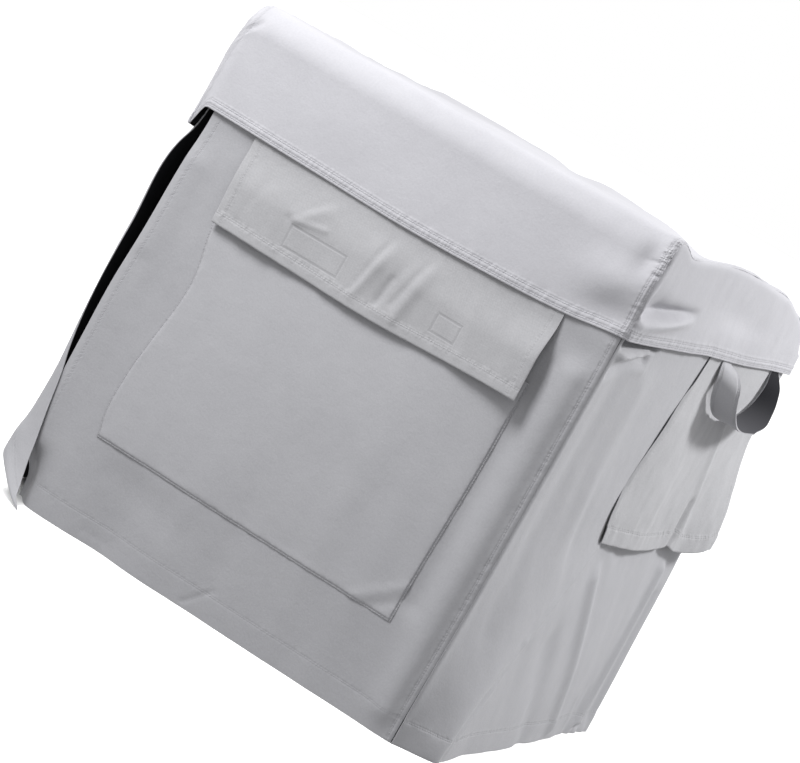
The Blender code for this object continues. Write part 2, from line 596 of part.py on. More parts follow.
hood_side_x = HOOD_SIDE - seam_inset(HOOD_CORNER)
hood_x = np.concatenate(
    [
        -hood_side_x + np.array((0.0, 0.0015, 0.0045, 0.0100, 0.0180)),
        np.linspace(-hood_side_x + 0.028, hood_side_x - 0.028, 12),
        hood_side_x - np.array((0.0100, 0.0045, 0.0015, 0.0)),
    ]
)
sheet("hood_centre", grey, hood_x, np.arange(len(PROFILE_Z)), hood_centre)
sheet("hood_right_band", grey, HOOD_COLUMNS, HOOD_ROWS, hood_right)
sheet("hood_left_band", grey, HOOD_LENGTH - HOOD_COLUMNS[::-1], HOOD_ROWS, hood_left)

edge = np.array(CORNER_STATIONS) / (2 * HALF_WIDTH)
side_edge = np.array(CORNER_STATIONS) + seam_inset(WALL_CORNER)
rows = np.concatenate([np.linspace(0.0, 0.24, 6), np.linspace(0.30, 0.93, 9), (0.950, 0.965, 0.982, 1.0)])
front_columns = np.concatenate([(0.0, 0.02, 0.045, 0.075), np.linspace(0.11, 0.95, 14), 1.0 - edge[::-1]])
right_columns = np.concatenate(
    [side_edge, np.linspace(0.05, 0.34, 8), np.linspace(0.37, 0.66, 13), DEPTH - side_edge[::-1]]
)
back_columns = np.concatenate([edge, np.linspace(0.06, 0.94, 11), 1.0 - edge[::-1]])
lap_columns = (0.86, 0.89, 0.91, 0.92, 0.93, 0.94, 0.955, 0.975, 1.0)
left_columns = np.concatenate([edge, np.linspace(0.06, 0.80, 8), lap_columns])
sheet("front_wall", grey, front_columns, rows, front_wall)
sheet("right_wall", grey, right_columns, rows, right_wall)
sheet("back_wall", grey, back_columns, np.linspace(0.0, 1.0, 8), back_wall)
sheet("left_wall", grey, left_columns, rows, left_wall)

sheet("pocket_patch", grey, np.linspace(0.0, 1.0, 13), np.linspace(0.0, 1.0, 9), pocket_patch)
flap_rows = (0.0, 0.15, 0.33, 0.50, 0.67, 0.82, 0.92, 1.0)
sheet("front_flap", grey, np.linspace(0.0, 1.0, 29), flap_rows, front_flap)
side_columns = np.concatenate([np.linspace(0.0, 0.60, 9), np.linspace(0.65, 0.80, 6), (0.87, 0.94, 1.0)])
sheet("side_flap", grey, side_columns, np.linspace(0.0, 1.0, 11), side_flap)
sheet("carry_strap", strap_grey, np.linspace(0.0, 1.0, 31), (0.0, 0.5, 1.0), carry_strap, STRAP_CLOTH)
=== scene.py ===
"""Generator cover: a loose grey cloth cover, standing on the floor as if pulled over a portable generator.

Eleven cut pieces of coated woven polyester, grey outside and black inside, each one sheet of cloth laid out
as a numpy surface. A place on the cover is x (to the right), depth (back from the front wall) and z (up from
the floor), in metres.
"""

import math

import bpy
import numpy as np
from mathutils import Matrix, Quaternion, Vector


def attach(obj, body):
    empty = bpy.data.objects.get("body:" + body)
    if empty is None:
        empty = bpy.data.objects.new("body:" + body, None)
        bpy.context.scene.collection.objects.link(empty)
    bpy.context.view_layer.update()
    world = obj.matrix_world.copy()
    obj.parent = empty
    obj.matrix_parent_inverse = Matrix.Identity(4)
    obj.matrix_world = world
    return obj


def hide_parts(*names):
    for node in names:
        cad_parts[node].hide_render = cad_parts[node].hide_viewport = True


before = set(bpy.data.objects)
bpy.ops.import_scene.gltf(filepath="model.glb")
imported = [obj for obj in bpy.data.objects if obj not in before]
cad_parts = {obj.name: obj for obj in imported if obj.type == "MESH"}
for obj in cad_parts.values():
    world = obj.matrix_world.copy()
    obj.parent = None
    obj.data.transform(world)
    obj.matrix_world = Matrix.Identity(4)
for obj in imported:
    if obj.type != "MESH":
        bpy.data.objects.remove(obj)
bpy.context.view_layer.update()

# Camera
# A long lens at the cover's front right, a little above it. The photograph was taken with the camera turned
# about its own axis by 29 degrees, so the cover leans in the picture although it stands upright.

CAMERA_PLACE = (1.2449, -3.7212, 0.723)
CAMERA_TURN = math.radians(18.969)
CAMERA_DOWN = math.radians(6.198)
CAMERA_ROLL = math.radians(29.13)
FOCAL_PIXELS = 3400
PICTURE_WIDTH = 800

lens = bpy.data.cameras.new("long lens")
lens.sensor_width = 36.0
lens.lens = FOCAL_PIXELS / PICTURE_WIDTH * lens.sensor_width
lens.clip_end = 60.0
camera = bpy.data.objects.new("camera", lens)
bpy.context.scene.collection.objects.link(camera)
bpy.context.scene.camera = camera
level = math.cos(CAMERA_DOWN)
looking = Vector((-math.sin(CAMERA_TURN) * level, math.cos(CAMERA_TURN) * level, -math.sin(CAMERA_DOWN)))
camera.location = CAMERA_PLACE
camera.rotation_mode = "QUATERNION"
camera.rotation_quaternion = looking.to_track_quat("-Z", "Y") @ Quaternion((0, 0, 1), CAMERA_ROLL)

# Studio
# A pale floor that runs on past the view, with a white surround. A soft box hangs above the front left and a
# smaller one above the back right. The floor has an even light of its own, and throws no light back up.

FLOOR_REACH = 30.0
FLOOR_COLOUR = (0.86, 0.86, 0.86, 1.0)
FLOOR_LIGHT = 3.6
SKY_ABOVE = 0.66
SKY_BELOW = 0.45


class Shade:
    """A socket of a node tree: arithmetic on it adds Math nodes, and node() adds a node of any other kind."""

    def __init__(self, tree, socket=None):
        self.tree = tree
        self.socket = socket

    def node(self, kind, settings, values, output=0):
        """Adds a node of this kind: its settings first, then the values or links of its sockets."""
        made = self.tree.nodes.new("ShaderNode" + kind)
        for name, value in settings.items():
            setattr(made, name, value)
        for place, value in values.items():
            if isinstance(value, Shade):
                self.tree.links.new(value.socket, made.inputs[place])
            else:
                made.inputs[place].default_value = value
        return Shade(self.tree, made.outputs[output])

    def math(self, operation, *values):
        return self.node("Math", {"operation": operation}, dict(enumerate(values)))

    def __add__(self, other):
        return self.math("ADD", self, other)

    def __sub__(self, other):
        return self.math("SUBTRACT", self, other)

    def __rsub__(self, other):
        return self.math("SUBTRACT", other, self)

    def __mul__(self, other):
        return self.math("MULTIPLY", self, other)

    def __truediv__(self, other):
        return self.math("DIVIDE", self, other)

    __radd__ = __add__
    __rmul__ = __mul__

    def above(self, low, high):
        """0 where this is under low, 1 where it is over high, and a smooth rise between."""
        ends = {"Value": self, "From Min": low, "From Max": high}
        return self.node("MapRange", {"interpolation_type": "SMOOTHSTEP"}, ends)

    def mix(self, low, high):
        """The colour low where this is 0, and high where it is 1."""
        return self.node("Mix", {"data_type": "RGBA"}, {"Factor": self, 6: low, 7: high}, 2)


floor_cloth = bpy.data.materials.new("pale floor")
floor_cloth.use_nodes = True
floor_shader = floor_cloth.node_tree.nodes["Principled BSDF"]
floor_shader.inputs["Base Color"].default_value = FLOOR_COLOUR
floor_shader.inputs["Roughness"].default_value = 0.95
floor_shader.inputs["Specular IOR Level"].default_value = 0.1
floor_mesh = bpy.data.meshes.new("floor")
floor_corners = [(x * FLOOR_REACH, y * FLOOR_REACH, 0.0) for x, y in ((-1, -1), (1, -1), (1, 1), (-1, 1))]
floor_mesh.from_pydata(floor_corners, [], [(0, 1, 2, 3)])
floor_mesh.materials.append(floor_cloth)
floor = bpy.data.objects.new("floor", floor_mesh)
floor.visible_diffuse = False
bpy.context.scene.collection.objects.link(floor)

surround = bpy.data.worlds.new("white surround")
bpy.context.scene.world = surround
surround.use_nodes = True
surround_sky = surround.node_tree.nodes["Background"]
sky = Shade(surround.node_tree)
seen = sky.node("LightPath", {}, {}, "Is Camera Ray")
upward = sky.node("SeparateXYZ", {}, {0: sky.node("TexCoord", {}, {}, "Generated")}, "Z")
glow = SKY_BELOW + (SKY_ABOVE - SKY_BELOW) * upward.above(-0.5, 0.5)
surround.node_tree.links.new((glow + (1.0 - glow) * seen).socket, surround_sky.inputs["Strength"])
surround_sky.inputs["Color"].default_value = (1.0, 1.0, 1.0, 1.0)


def soft_box(name, place, aim, size, power):
    """A square area light at a place, turned to face a point."""
    light = bpy.data.lights.new(name, "AREA")
    light.shape = "SQUARE"
    light.size = size
    light.energy = power
    lamp = bpy.data.objects.new(name, light)
    lamp.location = place
    lamp.rotation_mode = "QUATERNION"
    lamp.rotation_quaternion = (Vector(aim) - Vector(place)).to_track_quat("-Z", "Y")
    bpy.context.scene.collection.objects.link(lamp)


soft_box("overhead soft box", place=(-0.75, -1.25, 1.70), aim=(0.0, 0.0, 0.40), size=0.65, power=38.0)
soft_box("right soft box", place=(1.30, 0.80, 1.60), aim=(0.27, 0.0, 0.40), size=0.30, power=33.0)
even = bpy.data.lights.new("floor light", "SUN")
even.energy = FLOOR_LIGHT
even.angle = math.radians(70)
floor_light = bpy.data.objects.new("floor light", even)
floor_light.rotation_euler = (math.radians(20), math.radians(-8), 0.0)
bpy.context.scene.collection.objects.link(floor_light)
lit_floor = bpy.data.collections.new("lit by the floor light")
lit_floor.objects.link(floor)
floor_light.light_linking.receiver_collection = lit_floor
bpy.context.scene.view_settings.view_transform = "Standard"

# Hood strip
# One long piece of cloth makes the front band, the top and the back band. Its long edges are sewn to the side
# bands with a double row of topstitching beside the seam, and its two ends are turned up in a stitched hem.

# The middle of the footprint, which is the part's origin, and the box over the outside of the walls
CENTRE_X = -0.0018
CENTRE_DEPTH = 0.3309
HALF_WIDTH = 0.2695
DEPTH = 0.698
HEIGHT = 0.612

CLOTH = 0.0009
SEAM = 0.00025  # between pieces sewn edge to edge
THREAD = 0.0007
STITCH = 0.0034
PROUD = 0.0058  # how far the hood stands off the walls
HOOD_HEM = 0.484
HOOD_CORNER = 0.009
FRONT_ROLL = 0.034
BACK_ROLL = 0.090
TOP_FALL = 0.009  # how much lower the top lies at the back
HOOD_SIDE = HALF_WIDTH + PROUD
HOOD_FRONT = -PROUD
HOOD_BACK = DEPTH + PROUD
# The hood's two round edges, seen from the side: radius, where it is centred, and the way it faces
HOOD_ROLLS = ((FRONT_ROLL, HOOD_FRONT + FRONT_ROLL, -1.0), (BACK_ROLL, HOOD_BACK - BACK_ROLL, 1.0))

# Where the hood's hem lies above or below HOOD_HEM
HEM_FRONT = {
    "x": (-0.276, -0.150, 0.015, 0.084, 0.202, 0.276),
    "lift": (-0.002, -0.004, -0.0067, -0.005, 0.001, 0.009),
}
HEM_RIGHT = {
    "depth": (0.0, 0.18, 0.33, 0.46, 0.63, 0.704),
    "lift": (0.009, 0.014, 0.019, 0.020, 0.025, 0.026),
}
HEM_BACK = {"x": (-0.276, 0.0, 0.276), "lift": (0.010, 0.013, 0.026)}
HEM_LEFT = {
    "depth": (0.0, 0.022, 0.04, 0.15, 0.35, 0.704),
    "lift": (-0.002, -0.004, -0.006, -0.007, 0.002, 0.010),
}

# How far the top's back right shoulder has sunk, by depth
SHOULDER = {
    "depth": (0.0, 0.42, 0.536, 0.60, 0.655, 0.704),
    "fall": (0.0, 0.0, 0.006, 0.018, 0.026, 0.022),
}


def table(names, *rows):
    """A short table: each row's values under these column names."""
    return [dict(zip(names.split(), row)) for row in rows]


# Creases across the top: start and end in x and depth, height (a trough is below zero) and width
TOP_CREASES = table(
    "from to height width",
    ((0.268, 0.075), (0.135, 0.62), -0.012, 0.034),
    ((0.090, 0.16), (-0.070, 0.64), -0.006, 0.026),
    ((-0.200, 0.10), (-0.240, 0.50), -0.003, 0.045),
    ((0.010, 0.10), (-0.030, 0.60), 0.003, 0.030),
)
# The pinch at the right front corner, by depth: the height of its crease, how deep the crease is, how far the
# slope above it reaches up, and how far the ridge below it stands out
PINCH = {
    "depth": (0.0, 0.06, 0.12, 0.165, 0.20),
    "line": (0.5190, 0.5270, 0.5340, 0.5385, 0.5410),
    "crease": (-0.0090, -0.0140, -0.0105, -0.0050, 0.0),
    "slope": (0.022, 0.018, 0.012, 0.008, 0.008),
    "ridge": (0.0040, 0.0085, 0.0070, 0.0030, 0.0),
}
PINCH_RIDGE_DROP = 0.0145  # how far the ridge lies below the crease
LEFT_ROUND = 0.017  # how much wider the left front corner's radius is at the hem than at the top
LEFT_FALL = 0.026  # how far the hem falls round that corner

# Rows of stitches above the hem and beside the long seams, by their distance from the edge
HOOD_HEM_FOLD = 0.0115
HOOD_HEM_ROWS = (0.0035, 0.0100)
TOPSTITCH = (0.0022, 0.0082)
# Grooves that the stitches have pulled across the near corner's seam, by their distance from the front hem
CORNER_TUCKS = (0.074, 0.082, 0.094, 0.101, 0.109, 0.115, 0.122, 0.129)
HOOD_GREYS = ((0.405, 0.403, 0.430, 1.0), (0.470, 0.468, 0.496, 1.0))


def ease(t):
    """0 below t = 0, 1 above t = 1, and a smooth rise between."""
    t = np.clip(t, 0.0, 1.0)
    return t * t * (3.0 - 2.0 * t)


def curve(value, knots, heights):
    """The smooth line through a short table: a cubic between knots, level beyond the ends."""
    knots = np.asarray(knots, float)
    heights = np.asarray(heights, float)
    slopes = np.gradient(heights, knots)
    slopes[[0, -1]] = 0.0
    value = np.clip(value, knots[0], knots[-1])
    k = np.clip(np.searchsorted(knots, value, side="right") - 1, 0, len(knots) - 2)
    span = knots[k + 1] - knots[k]
    t = (value - knots[k]) / span
    start = heights[k] * (1 + 2 * t) * (1 - t) ** 2 + slopes[k] * span * t * (1 - t) ** 2
    end = heights[k + 1] * t * t * (3 - 2 * t) + slopes[k + 1] * span * t * t * (t - 1)
    return start + end


def creases(rows, across, up):
    """Soft ridges and troughs along straight lines: height * exp(-(distance to the line / width) squared)."""
    total = np.zeros(np.broadcast(across, up).shape)
    for row in rows:
        start = np.array(row["from"])
        run = np.array(row["to"]) - start
        length = max(run @ run, 1e-12)
        t = np.clip(((across - start[0]) * run[0] + (up - start[1]) * run[1]) / length, 0.0, 1.0)
        away = np.hypot(across - start[0] - t * run[0], up - start[1] - t * run[1])
        total = total + row["height"] * np.exp(-((away / row["width"]) ** 2))
    return total


def bump(value, centre, width):
    """A single soft hump: exp(-((value - centre) / width) squared)."""
    return np.exp(-(((value - centre) / width) ** 2))


def uneven(run, pitch, seed):
    """A smooth random line between -1 and 1: a random height at each pitch along the run, eased between."""
    heights = np.random.default_rng(seed).uniform(-1.0, 1.0, 2000)
    place = np.maximum(run, 0.0) / pitch
    k = np.floor(place).astype(int)
    return heights[k] + (heights[k + 1] - heights[k]) * ease(place - k)


def slack(across, up, size, seed):
    """A smooth random surface between -1 and 1: random heights on a lattice of this size, eased between."""
    heights = np.random.default_rng(seed).uniform(-1.0, 1.0, (400, 400))
    u = (across + 4.0 * size[0]) / size[0]
    v = (up + 4.0 * size[1]) / size[1]
    i = np.floor(u).astype(int)
    j = np.floor(v).astype(int)
    low = heights[i, j] + (heights[i + 1, j] - heights[i, j]) * ease(u - i)
    high = heights[i, j + 1] + (heights[i + 1, j + 1] - heights[i, j + 1]) * ease(u - i)
    return low + (high - low) * ease(v - j)


def rolled(inside, radius):
    """How far a face has rolled away at this distance inside its outer line, on an edge of this radius."""
    left = np.clip(radius - inside, 0.0, radius)
    return radius - np.sqrt(radius**2 - left**2)


def seam_inset(radius):
    """Distance inside the outer line at which a sheet ends: half a seam short of the round edge's middle."""
    return radius * (1.0 - np.sqrt(0.5)) + SEAM / (2.0 * np.sqrt(2.0))


def hood_edge(depth):
    """Height of the hood's cut side edge at a depth: level, with a quarter round at front and back."""
    inset = seam_inset(HOOD_CORNER)
    top = HEIGHT - inset
    for roll, centre, facing in HOOD_ROLLS:
        radius = roll - inset
        short = np.clip((depth - centre) * facing, 0.0, radius)
        top = top - (radius - np.sqrt(radius**2 - short**2))
    return top


def hood_inside(depth, z):
    """Distance inside the hood's outer line, seen from the side."""
    front = depth - HOOD_FRONT
    back = HOOD_BACK - depth
    top = HEIGHT - z
    inside = np.minimum(np.minimum(front, back), top)
    for radius, flank in ((FRONT_ROLL, front), (BACK_ROLL, back)):
        corner = radius - np.hypot(radius - flank, radius - top)
        inside = np.where((flank < radius) & (top < radius), corner, inside)
    return inside


def round_left_corner(x, depth, z):
    """Turns the left front corner round a wider radius lower down: a place in the corner's square is pulled
    towards the middle of the round until it lies on it."""
    radius = HOOD_CORNER + LEFT_ROUND * ease((0.600 - z) / 0.06)
    inward = radius - (x + HOOD_SIDE)
    back = radius - (depth - HOOD_FRONT)
    in_square = (inward > 0.0) & (back > 0.0)
    pull = np.where(in_square, radius / np.maximum(np.hypot(inward, back), radius), 1.0)
    return -HOOD_SIDE + radius - inward * pull, HOOD_FRONT + radius - back * pull


def pinch(depth, z):
    """The slack pinched at the right front corner: a crease, a broad slope above it and a ridge below."""
    row = {name: curve(depth, PINCH["depth"], column) for name, column in PINCH.items()}
    crest = row["line"] - PINCH_RIDGE_DROP
    slope = np.where(z > row["line"], row["slope"], 0.0070)
    ridge = np.where(z > crest, 0.0070, 0.0120)
    return row["crease"] * bump(z, row["line"], slope) + row["ridge"] * bump(z, crest, ridge)


def hood_form(x, depth, z, hem_lift):
    """Lays the slack of the hood into its smooth box: hem line, sunk top, ear, round corner and creases."""
    high = ease((z - 0.50) / 0.09)
    low = ease((0.575 - z) / 0.085)
    right = ease(x / 0.2)
    left = ease((-x - 0.19) / 0.07)
    fall = TOP_FALL * ease(depth / 0.6) + right * curve(depth, SHOULDER["depth"], SHOULDER["fall"])
    ear = 0.0075 * bump(np.hypot(x - 0.268, depth), 0.0, 0.017)
    corner_fall = LEFT_FALL * ease((-x - 0.256) / 0.018) * ease((0.20 - depth) / 0.15)
    rise = high * (creases(TOP_CREASES, x, depth) + ear - fall) + low * (hem_lift - corner_fall)
    belly = 0.013 * left * ease((0.600 - z) / 0.055)
    flank = ease((x - 0.255) / 0.012) * ease((depth + 0.002) / 0.014)
    out = flank * pinch(depth, z)
    out = out - 0.004 * flank * bump(depth, 0.36, 0.10) * bump(z, 0.555, 0.03) * ease(depth / 0.1)
    forward = 0.0020 * bump(x, 0.12, 0.09) * low + 0.0015 * bump(x, -0.12, 0.08) * bump(z, 0.54, 0.03)
    forward = forward + 0.0085 * bump(x, 0.236, 0.040) * bump(z, 0.540, 0.026)
    forward = forward * ease((0.25 - depth) / 0.1)
    x, depth = round_left_corner(x, depth, z)
    return x + out - belly, depth - forward, z + rise


def stations(length, step, fine=(0.0, 0.0008, 0.0018, 0.0032, 0.0052, 0.0078)):
    """Distances along an edge: close together at both ends, and a step apart between."""
    middle = np.linspace(0.0105, length - 0.0105, int(length / step))
    return np.concatenate([fine, middle, length - np.array(fine[::-1])])


def shares(length, step):
    """The same places as shares of the edge's length."""
    return stations(length, step) / length


round_front = np.linspace(0.0, np.pi / 2, 15)
round_back = np.linspace(np.pi / 2, 0.0, 25)
front_radius = FRONT_ROLL - seam_inset(HOOD_CORNER)
back_radius = BACK_ROLL - seam_inset(HOOD_CORNER)
HOOD_LENGTH = HOOD_BACK - HOOD_FRONT - 2 * seam_inset(HOOD_CORNER)
HOOD_COLUMNS = np.concatenate(
    [
        front_radius * (1 - np.cos(round_front)),
        np.linspace(front_radius, HOOD_LENGTH - back_radius, 150)[1:-1],
        HOOD_LENGTH - back_radius * (1 - np.cos(round_back)),
    ]
)
HOOD_ROWS = 1.0 - shares(0.090, 0.0025)[::-1]


def hood_profile():
    """The strip's line from the front hem over the top to the back hem, with a place beside every edge point
    of the side bands, and its outward direction there."""
    inset = seam_inset(HOOD_CORNER)
    columns = HOOD_FRONT + inset + HOOD_COLUMNS
    front = HOOD_HEM + HOOD_ROWS[:-1] * (hood_edge(columns[0]) - HOOD_HEM)
    back = HOOD_HEM + HOOD_ROWS[-2::-1] * (hood_edge(columns[-1]) - HOOD_HEM)
    depth = np.concatenate([np.full(len(front), columns[0]), columns, np.full(len(back), columns[-1])])
    z = np.concatenate([front, hood_edge(columns), back])
    toward = np.zeros((len(depth), 2))
    for radius, centre, facing in HOOD_ROLLS:
        on = (depth - centre) * facing > 0
        away = np.stack([depth - centre, np.maximum(z - (HEIGHT - radius), 0.0)], axis=1)
        toward[on] = (away / np.linalg.norm(away, axis=1)[:, None])[on]
    toward[(toward == 0.0).all(axis=1)] = (0.0, 1.0)
    return depth + toward[:, 0] * inset, z + toward[:, 1] * inset, toward


PROFILE_DEPTH, PROFILE_Z, PROFILE_OUT = hood_profile()


def hood_strip(x, along):
    """The strip: each place along the profile, with both long edges rolled down to the seams."""
    place = np.rint(along).astype(int)
    drop = rolled(HOOD_SIDE - np.abs(x), HOOD_CORNER)
    depth = PROFILE_DEPTH[place] - drop * PROFILE_OUT[place, 0]
    z = PROFILE_Z[place] - drop * PROFILE_OUT[place, 1]
    front = curve(x, HEM_FRONT["x"], HEM_FRONT["lift"])
    back = curve(x, HEM_BACK["x"], HEM_BACK["lift"])
    return hood_form(x, depth, z, np.where(depth < DEPTH / 2, front, back))


class Laid:
    """A sheet's outer face as it lies, on a grid: its points, its outward directions, and for every point the
    distance along the cloth from its left, right, foot and head edges."""

    def __init__(self, surface, across, up):
        columns, rows = np.meshgrid(np.asarray(across, float), np.asarray(up, float))
        x, depth, z = surface(columns, rows)
        self.x, self.depth, self.z = x, depth, z
        self.points = np.stack([x - CENTRE_X, depth - CENTRE_DEPTH, z], axis=-1)
        along = np.linalg.norm(np.diff(self.points, axis=1), axis=-1)
        upward = np.linalg.norm(np.diff(self.points, axis=0), axis=-1)
        self.left = np.concatenate([np.zeros((len(rows), 1)), np.cumsum(along, axis=1)], axis=1)
        self.foot = np.concatenate([np.zeros((1, rows.shape[1])), np.cumsum(upward, axis=0)], axis=0)
        self.right = self.left[:, -1:] - self.left
        self.head = self.foot[-1:] - self.foot
        out = np.cross(np.gradient(self.points, axis=1), np.gradient(self.points, axis=0))
        self.out = out / np.linalg.norm(out, axis=-1, keepdims=True)


def cloth_piece(name, laid, raised, outside, thickness=CLOTH):
    """A closed sheet: the outer face moved outwards by raised, the inner face a thickness behind it, and a
    rim. The rim is the outer cloth turned under, and the inner face is black."""
    outer = laid.points + laid.out * raised[..., None]
    rows, columns = raised.shape
    slopes = np.cross(np.gradient(outer, axis=1), np.gradient(outer, axis=0))
    inner = outer - thickness * slopes / np.linalg.norm(slopes, axis=-1, keepdims=True)
    number = np.arange(rows * columns).reshape(rows, columns)
    a, b, c, d = number[:-1, :-1], number[:-1, 1:], number[1:, 1:], number[1:, :-1]
    face = np.stack([a, b, c, d], axis=-1).reshape(-1, 4)
    round_edge = np.concatenate([number[0, :-1], number[:-1, -1], number[-1, :0:-1], number[:0:-1, 0]])
    onward = np.roll(round_edge, -1)
    rim = np.stack([onward, round_edge, round_edge + number.size, onward + number.size], axis=-1)
    faces = np.concatenate([face, face[:, ::-1] + number.size, rim])
    mesh = bpy.data.meshes.new(name)
    mesh.from_pydata(np.concatenate([outer.reshape(-1, 3), inner.reshape(-1, 3)]), [], faces)
    for layer in ("left", "right", "foot", "head"):
        distance = np.tile(getattr(laid, layer).ravel(), 2)
        mesh.attributes.new("from_" + layer, "FLOAT", "POINT").data.foreach_set("value", distance)
    uv = np.tile(np.stack([laid.left, laid.foot], axis=-1).reshape(-1, 2), (2, 1))
    mesh.uv_layers.new(name="cloth_metres").data.foreach_set("uv", uv[faces.ravel()].ravel())
    mesh.materials.append(outside)
    mesh.materials.append(BLACK_INSIDE)
    inside = np.zeros(len(faces), int)
    inside[len(face) : 2 * len(face)] = 1
    mesh.polygons.foreach_set("material_index", inside)
    mesh.shade_smooth()
    mesh.set_sharp_from_angle(angle=math.radians(60))
    piece = bpy.data.objects.new(name, mesh)
    bpy.context.scene.collection.objects.link(piece)
    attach(piece, "root")
    diagonals = np.cross(outer[1:, :-1] - outer[:-1, 1:], outer[1:, 1:] - outer[:-1, :-1])
    return piece


def stitches(edge, at, strength=1.0, pull=8.0, **gather):
    """Stitching for woven(): a row along an edge of the sheet at each distance from it. Pull is how far the
    cloth is drawn up between the stitches, in units of 0.12 mm, and also how strong the painted shade of the
    puckers is. Strength sets how dark the painted shade in the furrows and between the stitches is. A gather
    is a place along the edge, its reach, and how many times more the cloth is drawn up there."""
    return {"edge": edge, "at": at, "strength": strength, "pull": pull, **gather}


def sew(start, off, along, row, shade, height):
    """Adds one stitching to a cloth's shade and height, by the distance off the sheet's edge and along it.
    The cloth between the rows is puckered, and each row is a line of threads in a furrow. The shade holds
    painted shade: darker in the pucker hollows, in the furrows and in the gaps between the stitches."""
    last = row["at"][-1]
    middle = (row["at"][0] + last) / 2.0
    spread = start.node("CombineXYZ", {}, {0: along + 3.0 * middle, 1: off * 0.35})
    noise = {"Vector": spread, "Scale": 230.0}
    pulled = start.node("TexNoise", {"noise_dimensions": "2D"}, noise, "Fac") - 0.5
    near = 1 - start.math("ABSOLUTE", off - middle).above(last - middle, last - middle + 0.006)
    if "gather" in row:
        centre, reach, more = row["gather"]
        near = near * (1 + more * (1 - start.math("ABSOLUTE", along - centre).above(0.0, reach)))
    height = height + near * pulled * row["pull"]
    # Painted shade: the pucker hollows are darkened and the swellings lightened, along with the bump
    shade = shade + near * pulled * (0.09 * row["pull"])
    beat = start.math("FRACT", along / STITCH)
    on = beat.above(0.10, 0.22) * (1 - beat.above(0.78, 0.92))
    for distance in row["at"]:
        away = start.math("ABSOLUTE", off - distance)
        line = 1 - away.above(0.0004, 0.0009)
        furrow = 1 - away.above(0.0006, 0.0030)
        # Painted shade in the furrow and in the gaps between the stitches; the threads themselves are lighter
        shade = shade + (line * (on * 1.1 - 0.9) - furrow * 0.25) * row["strength"]
        height = height + (line * on * 3.0 - furrow * 4.0) * row["strength"]
    return shade, height


def sew_outline(start, place, corners, slubs, shade, height):
    """Adds a rectangle of stitches, given by its low and its high corner (x, z): a dark line in a furrow."""
    low_x, low_z, high_x, high_z = corners
    x = start.node("SeparateXYZ", {}, {0: place}, "X") + CENTRE_X
    z = start.node("SeparateXYZ", {}, {0: place}, "Z")
    beside = start.math("MINIMUM", x - low_x, high_x - x)
    inside = start.math("MINIMUM", beside, start.math("MINIMUM", z - low_z, high_z - z))
    away = start.math("ABSOLUTE", inside)
    shade = shade - (1 - away.above(0.0003, 0.0010)) * (0.35 + 0.6 * slubs)
    height = height - (1 - away.above(0.0004, 0.0022)) * 2.5
    return shade, height


def cloth_shader(name):
    """A new material, its shader, a Shade to start from, and the cloth's own coordinates in metres."""
    material = bpy.data.materials.new(name)
    material.use_nodes = True
    start = Shade(material.node_tree)
    flat = start.node("UVMap", {"uv_map": "cloth_metres"}, {})
    return material, material.node_tree.nodes["Principled BSDF"], start, flat


def dress(shader, start, colour, rise, roughness, specular):
    """Links a colour and a bump to a cloth's shader, and sets how it shines."""
    start.tree.links.new(colour.socket, shader.inputs["Base Color"])
    start.tree.links.new(start.node("Bump", {}, rise, "Normal").socket, shader.inputs["Normal"])
    shader.inputs["Roughness"].default_value = roughness
    shader.inputs["Specular IOR Level"].default_value = specular


def woven(name, greys, thread, rows, outlines=()):
    """Plain-woven polyester: threads cross every thread metres, and a blotchy unevenness mixes its two greys.
    Its stitching is given by rows, each made by stitches(), and by outlines."""
    material, shader, start, flat = cloth_shader(name)
    across = start.node("SeparateXYZ", {}, {0: flat}, "X")
    up = start.node("SeparateXYZ", {}, {0: flat}, "Y")
    place = start.node("TexCoord", {}, {}, "Object")
    weave = start.math("SINE", across * (math.pi / thread)) * start.math("SINE", up * (math.pi / thread))
    fine = {"Vector": flat, "Scale": 420.0, "Detail": 2.0}
    broad = {"Vector": place, "Scale": 9.0, "Detail": 3.0, "Roughness": 0.55}
    small = {"Vector": place, "Scale": 55.0, "Detail": 4.0, "Roughness": 0.6}
    slubs = start.node("TexNoise", {"noise_dimensions": "2D"}, fine, "Fac")
    blotches = start.node("TexNoise", {}, broad, "Fac")
    crinkle = start.node("TexNoise", {}, small, "Fac")
    shade = 0.5 + (blotches - 0.5) * 0.9 + (slubs - 0.5) * 0.8 + weave * 0.10 + (crinkle - 0.5) * 0.5
    height = weave * 0.25 + slubs * 0.7 + crinkle * 5.0
    for row in rows:
        off = start.node("Attribute", {"attribute_name": "from_" + row["edge"]}, {}, "Fac")
        along = across if row["edge"] in ("foot", "head") else up
        shade, height = sew(start, off, along, row, shade, height)
    for corners in outlines:
        shade, height = sew_outline(start, place, corners, slubs, shade, height)
    colour = start.node("Clamp", {}, {"Value": shade}).mix(*greys)
    rise = {"Height": height, "Distance": 0.00012, "Strength": 1.0}
    dress(shader, start, colour, rise, roughness=0.82, specular=0.30)
    shader.inputs["Sheen Weight"].default_value = 0.12
    shader.inputs["Sheen Roughness"].default_value = 0.45
    return material


